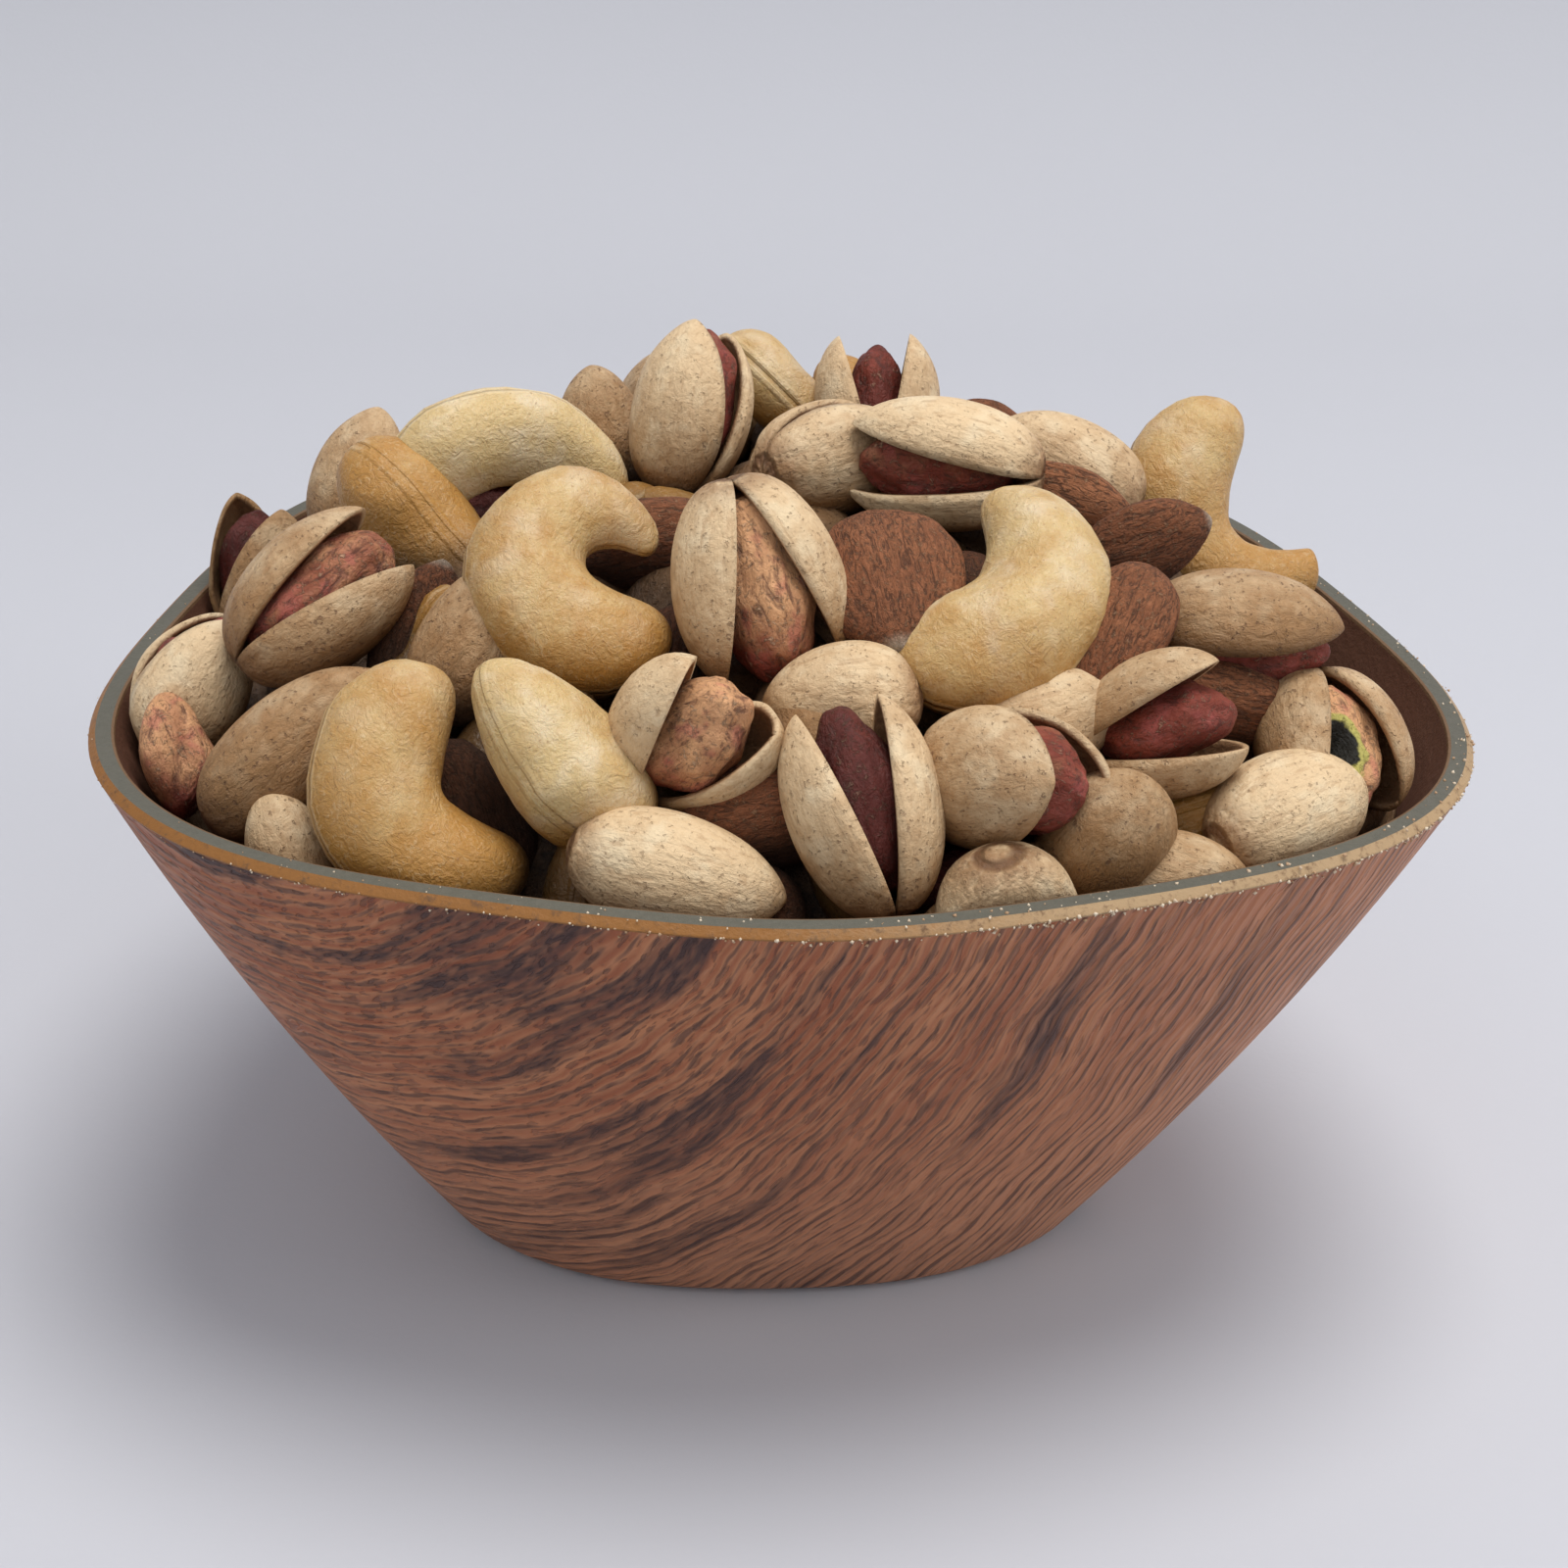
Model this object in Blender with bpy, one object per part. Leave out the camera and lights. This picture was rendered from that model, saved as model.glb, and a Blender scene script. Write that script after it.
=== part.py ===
"""Bowl of mixed nuts: a three-cornered bowl and the heap of nuts that fills it.

Lengths in this script are in millimetres. They become metres when a mesh is made.
The origin is the middle of the bowl's outline on the table, +Z is up, and the side
of the bowl that is seen first faces -Y.
"""

import math
import random
from collections import namedtuple

import bmesh
import bpy
from mathutils import Matrix, Vector

MM = 0.001
COLLECTION = "mixed_nuts_bowl"

# Bowl: three rounded corners, one to the back and two to the front
RIM_RADIUS = 75.0
RIM_CORNER = 0.077
RIM_TIGHT = 0.021
BASE_RADIUS = 39.6
BASE_CORNER = 0.072
BOWL_HEIGHT = 68.5
WALL_BULGE = 0.21
WALL = 3.3
RIM_BEVEL = 0.8
FLOOR = 4.2
BASE_ROUND = 1.6
FLOOR_ROUND = 5.0
BOWL_SIDES = 60
WALL_RINGS = 5

# Heap: the surface that the middles of the nuts lie on, and the core under them
HEAP_EDGE = -7.0
HEAP_CREST = 26.5
HEAP_ROUND = 3.4
HEAP_FRONT = 6.0
HEAP_BRIM = 0.97
CORE_DEPTH = 3.8
CORE_SIDES = 36
CORE_RINGS = 5
GAP = 0.45
CORE_CLEAR = 0.75
SQUEEZE = 2.5
WELD = 0.04
WELD_ROUNDS = 3

# Nuts: depths as shares of the girth, or of the length for an almond
SHELL_DEPTH = 0.90
SHELL_BACK = 0.15
HINGE = 0.46
KERNEL_SHARE = 0.84
KERNEL_SHIFT = 0.05
GAPE_SHARE = 0.53
SHELL_TWIST = math.radians(1.7)
KERNEL_TWIST = math.radians(14.0)
ALMOND_DEPTH = 0.40
EGG_TAPER = 0.13
CASHEW_DEPTH = 0.88
CASHEW_HOLLOW = 0.6
CASHEW_BLUNT = 3.6
CASHEW_UNCURL = 0.27

# Where the heap is looked at from, and how a place in that view is told.
# A place is given in pixels of a square view, across and down from its top left corner.
VIEW_SIZE = 1600.0
VIEW_LENS = 3000.0
VIEW_RISE = math.radians(34.0)
VIEW_TURN = math.radians(-4.4)
VIEW_ROLL = math.radians(1.65)
VIEW_DISTANCE = 377.7
VIEW_AIM = (-14.0, 340.0)
SIGHT_STEPS = 500
SIGHT_REACH = 3.0 * RIM_RADIUS

# Nuts that show. heading: way the long axis points, from the right of the view and
# counterclockwise; lean: how far its tip comes forward; spin: turn about the axis;
# lift: height over the heap's surface; open: angle between the half shells, or the
# bend of a cashew; girth: thickness across; taper: how much thinner a cashew is at
# its tip; fill: how much of its shell a kernel fills.
Nut = namedtuple("Nut", "kind across down heading lean spin length lift open girth taper"
                 " fill", defaults=(0.4, KERNEL_SHARE))
SHOWN = [
    Nut("cashew", 584, 592, 80, -20, 8, 37, 1, 312, 16.4, 0.58),
    Nut("cashew", 414, 820, -66, 0, 158, 34, 1, 225, 14.2, 0.1),
    Nut("cashew", 572, 768, 124, 0, 235, 23, 0, 70, 16.6, 0.52),
    Nut("cashew", 1035, 622, 58, -24, 165, 33, 1, 215, 17.4, 0.36),
    Nut("cashew", 522, 474, -6, -24, 20, 38, 0, 190, 13.8, 0.42),
    Nut("cashew", 1236, 534, -56, 0, 172, 39, 1, 238, 15.4, 0.5),
    Nut("cashew", 802, 408, -45, 0, 90, 23, -3, 120, 12.0),
    Nut("shut", 1130, 852, 62, 48, 40, 18, -1, 0, 14.6),
    Nut("cashew", 1222, 836, 20, 10, 250, 25, -8, 100, 12.6),
    Nut("cashew", 436, 548, -50, 0, 250, 26, -4, 100, 15.5, 0.2),
    Nut("open", 772, 592, -74, 0, 80, 22.5, 2, 34, 13.4, fill=0.95),
    Nut("open", 322, 613, 41, 0, 80, 22, 2, 22, 13.2),
    Nut("open", 706, 420, 77, 0, -38, 21.5, 2, 16, 13.0, fill=0.8),
    Nut("open", 965, 474, 175, 0, 68, 23, 2, 19, 13, fill=0.8),
    Nut("open", 850, 466, 20, -35, 25, 21, 0, 16, 13.0),
    Nut("open", 895, 418, 92, 0, 90, 20, -2, 26, 12.6, fill=0.72),
    Nut("open", 706, 750, 36, 54, 114, 19.5, 0, 34, 13.4, fill=0.9),
    Nut("open", 882, 825, 105, 0, 98, 23, 0, 22, 13.2, fill=0.86),
    Nut("open", 1030, 796, -4, 44, 0, 20.5, 1, 26, 15.2),
    Nut("open", 1180, 742, 17, 36, 93, 20, 0, 28, 12.2),
    Nut("open", 1266, 653, -10, 0, -56, 22, 1, 19, 13.6, fill=0.78),
    Nut("open", 1358, 762, -72, 36, 66, 19, 0, 32, 13.2),
    Nut("open", 258, 588, 82, 22, 56, 20, -1, 22, 13.2, fill=0.75),
    Nut("open", 194, 706, 62, 0, 30, 19, 0, 12, 12.6),
    Nut("shut", 1315, 832, 22, -25, 0, 20.5, 0, 0, 14.0),
    Nut("shut", 690, 892, -14, 0, 0, 23, -2, 0, 12.4),
    Nut("shut", 1030, 950, -80, -35, 0, 20, -2, 0, 15.0),
    Nut("shut", 366, 492, 75, 0, 0, 19, 0, 0, 11.6),
    Nut("shut", 1090, 478, 150, 0, 0, 20, 0, 0, 12.4),
    Nut("shut", 303, 765, 40, 0, 20, 25, -1, 0, 13.0),
    Nut("shut", 860, 716, 185, 0, 0, 17, -4, 0, 12.6),
    Nut("shut", 487, 655, 60, 0, 0, 20, -3, 0, 12.4),
    Nut("shut", 1065, 738, 20, 0, 0, 18, -4, 0, 12.0),
    Nut("shut", 296, 872, 110, 0, 0, 15, -3, 0, 9.0),
    Nut("shut", 1198, 903, 160, 0, 0, 18, -2, 0, 11.5),
    Nut("shut", 615, 446, 100, 0, 0, 18, -3, 0, 11.5),
    Nut("almond", 907, 594, -80, 42, 0, 21, 1, 0, 16.4),
    Nut("almond", 1134, 650, -118, 22, 35, 19, 1, 0, 12.4),
    Nut("almond", 1171, 553, 20, 0, 30, 15.5, 0, 0, 10),
    Nut("almond", 1093, 524, -20, 0, 30, 17, -2, 0, 11.4),
    Nut("almond", 430, 655, 75, 0, 40, 19, -8, 0, 12.0),
    Nut("almond", 668, 556, 10, 0, 30, 19, -4, 0, 11.4),
    Nut("almond", 1250, 725, -10, 0, 40, 19, -5, 0, 12.0),
    Nut("almond", 790, 832, 10, 0, 30, 20, -6, 0, 12.4),
    Nut("kernel", 179, 772, 97, 0, 0, 14, 0, 0, 8.6),
]

# Nuts on the side that is turned away
FILL_SEED = 11
FILL_TRIES = 400
FILL_CLEAR = 13.2
FILL_REACH = 0.93
FILL_DROP = 5.0
FILL_FRONT = 18.0
FILL_KINDS = ("cashew", "shut", "open", "almond", "cashew", "open", "shut")
FILL_LEAN = 25.0
FILL_LENGTHS = (20.0, 23.5)
FILL_GAPES = (16.0, 30.0)
FILL_BENDS = (150.0, 210.0)
FILL_GIRTHS = {"cashew": 12.8, "almond": 12.4}
FILL_GIRTH = 0.6
FILL_OUTWARD = 60.0

# Place on the right where the bowl's wall shows bare above the nuts
BARE_WALL = (70.0, -4.0)
BARE_CLEAR = 22.0

# Sides and rings of each low nut
NUT_SIDES = 8
NUT_RINGS = 6
CASHEW_SIDES = 6
CASHEW_RINGS = 8


def third_wave(angle):
    """Three waves a turn, with a crest at the back and at the two front corners."""
    return math.cos(3.0 * (angle - math.pi / 2))


def rim_reach(angle):
    """Distance from the bowl's middle to the rim's outer edge."""
    tight = 2.0 * third_wave(angle) ** 2 - 1.0
    return RIM_RADIUS * (1.0 + RIM_CORNER * third_wave(angle) + RIM_TIGHT * tight)


def base_reach(angle):
    """Distance from the bowl's middle to the foot of its wall."""
    return BASE_RADIUS * (1.0 + BASE_CORNER * third_wave(angle))


# The corner reaches further back than the side does to the front
PLAN_SHIFT = (rim_reach(math.pi / 2) - rim_reach(-math.pi / 2)) / 2.0


def outer_reach(angle, height):
    """Distance from the bowl's middle to the outside of its wall at a height."""
    share = height / BOWL_HEIGHT
    share += WALL_BULGE * share * (1.0 - share)
    return base_reach(angle) + (rim_reach(angle) - base_reach(angle)) * share


def inner_reach(angle, height):
    """Distance from the bowl's middle to the inside of its wall at a height."""
    return outer_reach(angle, min(height, BOWL_HEIGHT)) - WALL


def ring_points(reach, height, sides):
    """Points of one level section, around the bowl's middle."""
    points = []
    for step in range(sides):
        angle = 2.0 * math.pi * step / sides
        distance = reach(angle)
        points.append(Vector((distance * math.cos(angle),
                              distance * math.sin(angle) - PLAN_SHIFT, height)))
    return points


def loft(sections):
    """Closed mesh through level sections, with flat ends."""
    mesh = bmesh.new()
    rings = [[mesh.verts.new(point * MM) for point in section] for section in sections]
    for lower, upper in zip(rings, rings[1:]):
        for step in range(len(lower)):
            after = (step + 1) % len(lower)
            mesh.faces.new((lower[step], lower[after], upper[after], upper[step]))
    mesh.faces.new(list(reversed(rings[0])))
    mesh.faces.new(rings[-1])
    bmesh.ops.recalc_face_normals(mesh, faces=mesh.faces)
    return mesh


def make_object(name, mesh, collection, smooth_angle=None):
    """Object in a collection from a finished mesh."""
    data = bpy.data.meshes.new(name)
    mesh.to_mesh(data)
    mesh.free()
    item = bpy.data.objects.new(name, data)
    collection.objects.link(item)
    if smooth_angle is not None:
        data.shade_smooth()
        data.set_sharp_from_angle(angle=smooth_angle)
    return item


def make_material(name, colour, roughness):
    """Plain material with a base colour and a roughness."""
    material = bpy.data.materials.new(name)
    material.use_nodes = True
    shader = material.node_tree.nodes["Principled BSDF"]
    shader.inputs["Base Color"].default_value = (*colour, 1.0)
    shader.inputs["Roughness"].default_value = roughness
    shader.inputs["Metallic"].default_value = 0.0
    material.diffuse_color = (*colour, 1.0)
    return material


def make_bowl(collection):
    """Bowl with a flat base, a bulging wall and a rim that is ground flat."""
    sections = [
        ring_points(lambda angle: outer_reach(angle, 0.0) - BASE_ROUND, 0.0, BOWL_SIDES),
        ring_points(lambda angle: outer_reach(angle, BASE_ROUND / 3) - BASE_ROUND / 3,
                    BASE_ROUND / 3, BOWL_SIDES),
    ]
    rim_foot = BOWL_HEIGHT - RIM_BEVEL
    for step in range(WALL_RINGS + 1):
        height = BASE_ROUND + (rim_foot - BASE_ROUND) * step / WALL_RINGS
        sections.append(ring_points(lambda angle: outer_reach(angle, height), height, BOWL_SIDES))
    sections.append(ring_points(lambda angle: outer_reach(angle, rim_foot) - RIM_BEVEL,
                                BOWL_HEIGHT, BOWL_SIDES))
    wall_foot = FLOOR + FLOOR_ROUND
    for step in range(WALL_RINGS):
        height = BOWL_HEIGHT + (wall_foot - BOWL_HEIGHT) * step / (WALL_RINGS - 1)
        sections.append(ring_points(lambda angle: inner_reach(angle, height), height, BOWL_SIDES))
    sections.append(ring_points(lambda angle: inner_reach(angle, wall_foot) - FLOOR_ROUND / 3,
                                FLOOR + FLOOR_ROUND / 3, BOWL_SIDES))
    sections.append(ring_points(lambda angle: inner_reach(angle, wall_foot) - FLOOR_ROUND,
                                FLOOR, BOWL_SIDES))
    return make_object("bowl", loft(sections), collection, math.radians(30))


def view_axes():
    """Place of the eye, and the view's right, up and forward directions."""
    right = Vector((1.0, 0.0, 0.0))
    forward = Vector((0.0, math.cos(VIEW_RISE), -math.sin(VIEW_RISE)))
    up = right.cross(forward)
    eye = forward * -VIEW_DISTANCE
    swing = Matrix.Rotation(math.atan2(VIEW_AIM[0], VIEW_LENS), 3, up)
    forward = swing @ forward
    right = swing @ right
    nod = Matrix.Rotation(math.atan2(VIEW_AIM[1], VIEW_LENS), 3, right)
    forward = nod @ forward
    up = nod @ up
    roll = Matrix.Rotation(-VIEW_ROLL, 3, forward)
    turn = Matrix.Rotation(VIEW_TURN, 3, "Z")
    middle = Vector((0.0, -PLAN_SHIFT, 0.0))
    return (turn @ eye + middle, turn @ roll @ right, turn @ roll @ up, turn @ forward)


EYE, RIGHT, UP, FORWARD = view_axes()


def sight_line(across, down):
    """Direction from the eye through a place in the view."""
    half = VIEW_SIZE / 2
    line = FORWARD + RIGHT * ((across - half) / VIEW_LENS) - UP * ((down - half) / VIEW_LENS)
    return line.normalized()


def heap_level(place):
    """Height of the nuts' middles above a place on the table, lower towards the front."""
    front = max(0.0, -(place.y + PLAN_SHIFT)) / rim_reach(-math.pi / 2)
    rise = HEAP_CREST * (1.0 - plan_share(place) ** HEAP_ROUND)
    return BOWL_HEIGHT + HEAP_EDGE + rise - HEAP_FRONT * front ** 2


def plan_share(place):
    """Share of the way from the bowl's middle to its wall at which a place lies."""
    side = Vector((place.x, place.y + PLAN_SHIFT))
    return side.length / inner_reach(math.atan2(side.y, side.x), BOWL_HEIGHT)


def shown_place(nut):
    """Point on a nut's sight line that lies on the heap, or comes nearest to it."""
    line = sight_line(nut.across, nut.down)
    nearest = None
    for step in range(SIGHT_STEPS):
        point = EYE + line * (VIEW_DISTANCE + (step / SIGHT_STEPS - 0.5) * SIGHT_REACH)
        if plan_share(point) > HEAP_BRIM:
            continue
        over = point.z - heap_level(point) - nut.lift
        if nearest is None or over < nearest[0]:
            nearest = (over, point)
        if over < 0.0:
            break
    return nearest[1]


def nut_frame(place, right, up, heading, lean, spin):
    """Matrix that carries a nut from its own axes to its place in the heap."""
    toward = right.cross(up)
    axes = Matrix((right, up, toward)).transposed()
    turned = (axes @ Matrix.Rotation(math.radians(heading), 3, "Z")
              @ Matrix.Rotation(math.radians(-lean), 3, "Y")
              @ Matrix.Rotation(math.radians(spin), 3, "X"))
    return Matrix.Translation(place) @ turned.to_4x4()


def ball(sides, rings):
    """Ball of radius 1 with its poles on the X axis."""
    mesh = bmesh.new()
    bmesh.ops.create_uvsphere(mesh, u_segments=sides, v_segments=rings, radius=1.0,
                              matrix=Matrix.Rotation(math.pi / 2, 4, "Y"))
    return mesh


def cashew(nut):
    """Bent nut, thick at the -X end, that arches over its own +Y side."""
    mesh = ball(CASHEW_SIDES, CASHEW_RINGS)
    bend = math.radians(nut.open) / 2.0
    half = nut.girth / 2.0
    hollow = max(CASHEW_HOLLOW, nut.length / (2.0 * bend) - half * (1.0 - 0.42 * nut.taper))
    for vert in mesh.verts:
        along = max(-1.0, min(1.0, vert.co.x))
        around = math.atan2(vert.co.z, vert.co.y)
        full = half * (1.0 - nut.taper * (0.42 + 0.5 * along + 0.08 * along ** 2))
        thick = full * math.sqrt(1.0 - abs(along) ** CASHEW_BLUNT)
        turn = along * bend
        uncurl = CASHEW_UNCURL * nut.girth * nut.taper * max(along, 0.0) ** 2
        reach = hollow + full + uncurl + thick * math.cos(around)
        vert.co = Vector((reach * math.sin(turn), reach * math.cos(turn),
                          CASHEW_DEPTH * thick * math.sin(around)))
    for axis in range(3):
        ends = [vert.co[axis] for vert in mesh.verts]
        middle = (min(ends) + max(ends)) / 2.0
        for vert in mesh.verts:
            vert.co[axis] -= middle
    return [mesh]


def egg(length, width, depth, sides, rings):
    """Egg with its narrow end on +X."""
    mesh = ball(sides, rings)
    for vert in mesh.verts:
        narrow = 1.0 - EGG_TAPER * vert.co.x
        vert.co = Vector((vert.co.x * length / 2, vert.co.y * narrow * width / 2,
                          vert.co.z * narrow * depth / 2))
    return mesh


def shut_pistachio(nut):
    """Pistachio whose shell has stayed closed."""
    return [egg(nut.length, nut.girth, nut.girth * SHELL_DEPTH, NUT_SIDES, NUT_RINGS)]


def almond(nut):
    """Flat drop-shaped nut with its tip on +X."""
    return [egg(nut.length, nut.girth, nut.length * ALMOND_DEPTH, NUT_SIDES, NUT_RINGS)]


def open_pistachio(nut):
    """Two half shells that gape about their hinge on -X, and the kernel between them."""
    hinge = Vector((-nut.length * HINGE, 0.0, 0.0))
    parts = []
    for side in (1, -1):
        half = egg(nut.length, nut.girth, nut.girth * SHELL_DEPTH, NUT_SIDES, NUT_RINGS)
        for vert in half.verts:
            if vert.co.z * side < 0.0:
                vert.co.z *= SHELL_BACK
        share = GAPE_SHARE if side > 0 else 1.0 - GAPE_SHARE
        swing = (Matrix.Rotation(math.radians(-side * nut.open * share), 3, "Y")
                 @ Matrix.Rotation(side * SHELL_TWIST, 3, "X"))
        bmesh.ops.rotate(half, verts=half.verts, cent=hinge, matrix=swing)
        parts.append(half)
    inner = egg(nut.length * nut.fill, nut.girth * nut.fill,
                nut.girth * nut.fill * SHELL_DEPTH, NUT_SIDES - 1, NUT_RINGS)
    bmesh.ops.rotate(inner, verts=inner.verts, cent=(0.0, 0.0, 0.0),
                     matrix=Matrix.Rotation(KERNEL_TWIST, 3, "X"))
    bmesh.ops.translate(inner, verts=inner.verts, vec=(nut.length * KERNEL_SHIFT, 0.0, 0.0))
    parts.append(inner)
    return parts


MAKERS = {"cashew": cashew, "shut": shut_pistachio, "open": open_pistachio,
          "almond": almond, "kernel": shut_pistachio}


def keep_inside(mesh):
    """Squeeze the part of a nut that would cross the bowl's wall."""
    lowest = min(vert.co.z for vert in mesh.verts)
    above = lowest > BOWL_HEIGHT + GAP
    for vert in mesh.verts:
        side = Vector((vert.co.x, vert.co.y + PLAN_SHIFT))
        angle = math.atan2(side.y, side.x)
        wall = rim_reach(angle) - RIM_BEVEL if above else inner_reach(angle, vert.co.z)
        free = wall - GAP - SQUEEZE
        over = side.length - free
        if over > 0.0:
            reach = free + SQUEEZE * (1.0 - math.exp(-over / SQUEEZE))
            vert.co.x = reach * math.cos(angle)
            vert.co.y = reach * math.sin(angle) - PLAN_SHIFT


def hidden_nuts(shown):
    """Nuts for the side turned away, spread on a spiral wherever no nut lies yet."""
    draw = random.Random(FILL_SEED)
    taken = list(shown)
    added = []
    for step in range(FILL_TRIES):
        share = math.sqrt((step + 0.5) / FILL_TRIES) * FILL_REACH
        angle = step * math.pi * (3.0 - math.sqrt(5.0))
        reach = inner_reach(angle, BOWL_HEIGHT) * share
        place = Vector((reach * math.cos(angle), reach * math.sin(angle) - PLAN_SHIFT, 0.0))
        place.z = heap_level(place) - FILL_DROP + draw.uniform(-1.5, 1.0)
        kind = draw.choice(FILL_KINDS)
        heading = draw.uniform(0.0, 360.0)
        lean = draw.uniform(-FILL_LEAN, FILL_LEAN)
        spin = draw.uniform(0.0, 360.0)
        length = draw.uniform(*FILL_LENGTHS)
        gape = draw.uniform(*(FILL_GAPES if kind == "open" else FILL_BENDS))
        bare = math.hypot(place.x - BARE_WALL[0], place.y - BARE_WALL[1]) < BARE_CLEAR
        if bare or place.y < FILL_FRONT or min((place - other).length for other in taken) < FILL_CLEAR:
            continue
        outward = Vector((place.x, place.y + PLAN_SHIFT, FILL_OUTWARD)).normalized()
        right = outward.cross(Vector((0.0, 1.0, 0.0))).normalized() * -1.0
        girth = FILL_GIRTHS.get(kind, length * FILL_GIRTH)
        nut = Nut(kind, 0, 0, heading, lean, spin, length, 0, gape, girth)
        taken.append(place)
        added.append((nut, nut_frame(place, right, outward.cross(right), heading, lean, spin)))
    return added


def core_sections():
    """Level sections of the heap's core, from the bowl's floor to its crest."""
    sections = []
    foot = FLOOR + GAP
    brim = BOWL_HEIGHT + HEAP_EDGE - HEAP_FRONT - CORE_DEPTH
    for step in range(CORE_RINGS):
        height = foot + (brim - foot) * step / (CORE_RINGS - 1)
        squeeze = CORE_CLEAR + (FLOOR_ROUND if step == 0 else 0.0)
        level = max(height, FLOOR + FLOOR_ROUND)
        sections.append(ring_points(lambda angle: inner_reach(angle, level) - squeeze,
                                    height, CORE_SIDES))
    for step in range(1, CORE_RINGS + 1):
        share = math.cos(math.pi / 2 * step / (CORE_RINGS + 0.5))
        section = ring_points(lambda angle: (inner_reach(angle, brim) - CORE_CLEAR) * share,
                              0.0, CORE_SIDES)
        for point in section:
            point.z = heap_level(point) - CORE_DEPTH
        sections.append(section)
    return sections


def make_heap(collection):
    """Core with every nut fused on, as one body."""
    pieces = bpy.data.collections.new("nuts_to_join")
    collection.children.link(pieces)
    heap = make_object("nut_heap", loft(core_sections()), collection)
    placed = [(nut, nut_frame(shown_place(nut), RIGHT, UP, nut.heading, nut.lean, nut.spin))
              for nut in SHOWN]
    placed += hidden_nuts([frame.to_translation() for _, frame in placed])
    for index, (nut, frame) in enumerate(placed):
        for part in MAKERS[nut.kind](nut):
            bmesh.ops.transform(part, matrix=frame, verts=part.verts)
            keep_inside(part)
            bmesh.ops.scale(part, vec=(MM, MM, MM), verts=part.verts)
            bmesh.ops.recalc_face_normals(part, faces=part.faces)
            make_object(f"{nut.kind}_{index}", part, pieces)
    union = heap.modifiers.new("join", "BOOLEAN")
    union.operation = "UNION"
    union.operand_type = "COLLECTION"
    union.collection = pieces
    union.solver = "MANIFOLD"
    bpy.context.view_layer.update()
    joined = bpy.data.meshes.new_from_object(
        heap.evaluated_get(bpy.context.evaluated_depsgraph_get()))
    heap.modifiers.clear()
    heap.data = joined
    for item in list(pieces.objects):
        bpy.data.objects.remove(item)
    bpy.data.collections.remove(pieces)
    keep_largest(heap)
    return heap


def turn_folded_edges(mesh):
    """Turn each edge whose two triangles lie on one another, so that the fold can close."""
    for edge in list(mesh.edges):
        if not edge.is_valid or len(edge.link_loops) != 2:
            continue
        first, second = [loop.link_loop_prev.vert for loop in edge.link_loops]
        if first is second or mesh.edges.get((first, second)):
            continue
        if (first.co - second.co).length < WELD * MM:
            bmesh.ops.rotate_edges(mesh, edges=[edge])


def weld_short_edges(mesh):
    """Close the edges that are too short to see, wherever that leaves the surface whole."""
    for edge in [edge for edge in mesh.edges if edge.calc_length() < WELD * MM]:
        if not edge.is_valid:
            continue
        ends = list(edge.verts)
        near = [{link.other_vert(end) for link in end.link_edges} for end in ends]
        if len(near[0] & near[1]) == 2:
            bmesh.ops.pointmerge(mesh, verts=ends, merge_co=(ends[0].co + ends[1].co) / 2.0)


def keep_largest(item):
    """Drop sealed hollows and loose scraps, so that one outer surface is left."""
    mesh = bmesh.new()
    mesh.from_mesh(item.data)
    mesh.verts.ensure_lookup_table()
    unseen = set(mesh.verts)
    shells = []
    while unseen:
        start = unseen.pop()
        shell = {start}
        front = [start]
        while front:
            vert = front.pop()
            for edge in vert.link_edges:
                other = edge.other_vert(vert)
                if other in unseen:
                    unseen.discard(other)
                    shell.add(other)
                    front.append(other)
        shells.append(shell)
    shells.sort(key=len)
    scraps = [vert for shell in shells[:-1] for vert in shell]
    bmesh.ops.delete(mesh, geom=scraps, context="VERTS")
    bmesh.ops.triangulate(mesh, faces=mesh.faces)
    for _ in range(WELD_ROUNDS):
        turn_folded_edges(mesh)
        weld_short_edges(mesh)
    mesh.to_mesh(item.data)
    mesh.free()
    item.data.shade_smooth()
    item.data.set_sharp_from_angle(angle=math.radians(50))


def main():
    """Build the bowl and its heap in an empty scene."""
    for item in list(bpy.data.objects):
        bpy.data.objects.remove(item)
    collection = bpy.data.collections.new(COLLECTION)
    bpy.context.scene.collection.children.link(collection)
    bowl = make_bowl(collection)
    bowl.data.materials.append(make_material("wood_print", (0.16, 0.065, 0.035), 0.45))
    heap = make_heap(collection)
    heap.data.materials.clear()
    heap.data.materials.append(make_material("nut", (0.52, 0.33, 0.15), 0.6))


main()
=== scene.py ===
"""Looks of the bowl of mixed nuts: its wood-print bowl, every nut that shows, and the salt."""

import math
import random
from collections import namedtuple

import bpy
import numpy as np
from mathutils import Matrix, Vector, noise


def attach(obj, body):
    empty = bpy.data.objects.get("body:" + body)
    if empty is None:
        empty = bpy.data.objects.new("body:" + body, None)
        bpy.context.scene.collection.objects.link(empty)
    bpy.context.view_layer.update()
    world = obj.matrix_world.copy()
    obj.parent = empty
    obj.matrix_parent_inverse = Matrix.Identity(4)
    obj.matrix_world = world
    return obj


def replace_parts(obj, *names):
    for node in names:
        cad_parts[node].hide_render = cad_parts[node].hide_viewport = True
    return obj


bl_info = {
    "name": "Bowl of Mixed Nuts",
    "version": (1, 0, 0),
    "blender": (4, 5, 0),
    "location": "View3D > Sidebar > Nuts",
    "description": "Builds a wood-print bowl heaped with cashews, pistachios and almonds",
    "category": "Object",
}

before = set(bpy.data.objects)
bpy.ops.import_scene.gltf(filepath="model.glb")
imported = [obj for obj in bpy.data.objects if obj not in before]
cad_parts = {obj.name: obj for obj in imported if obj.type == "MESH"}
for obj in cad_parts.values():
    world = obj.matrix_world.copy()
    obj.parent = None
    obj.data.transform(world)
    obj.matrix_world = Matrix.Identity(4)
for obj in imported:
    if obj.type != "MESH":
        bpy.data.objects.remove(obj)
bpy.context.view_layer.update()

MM = 0.001

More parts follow.
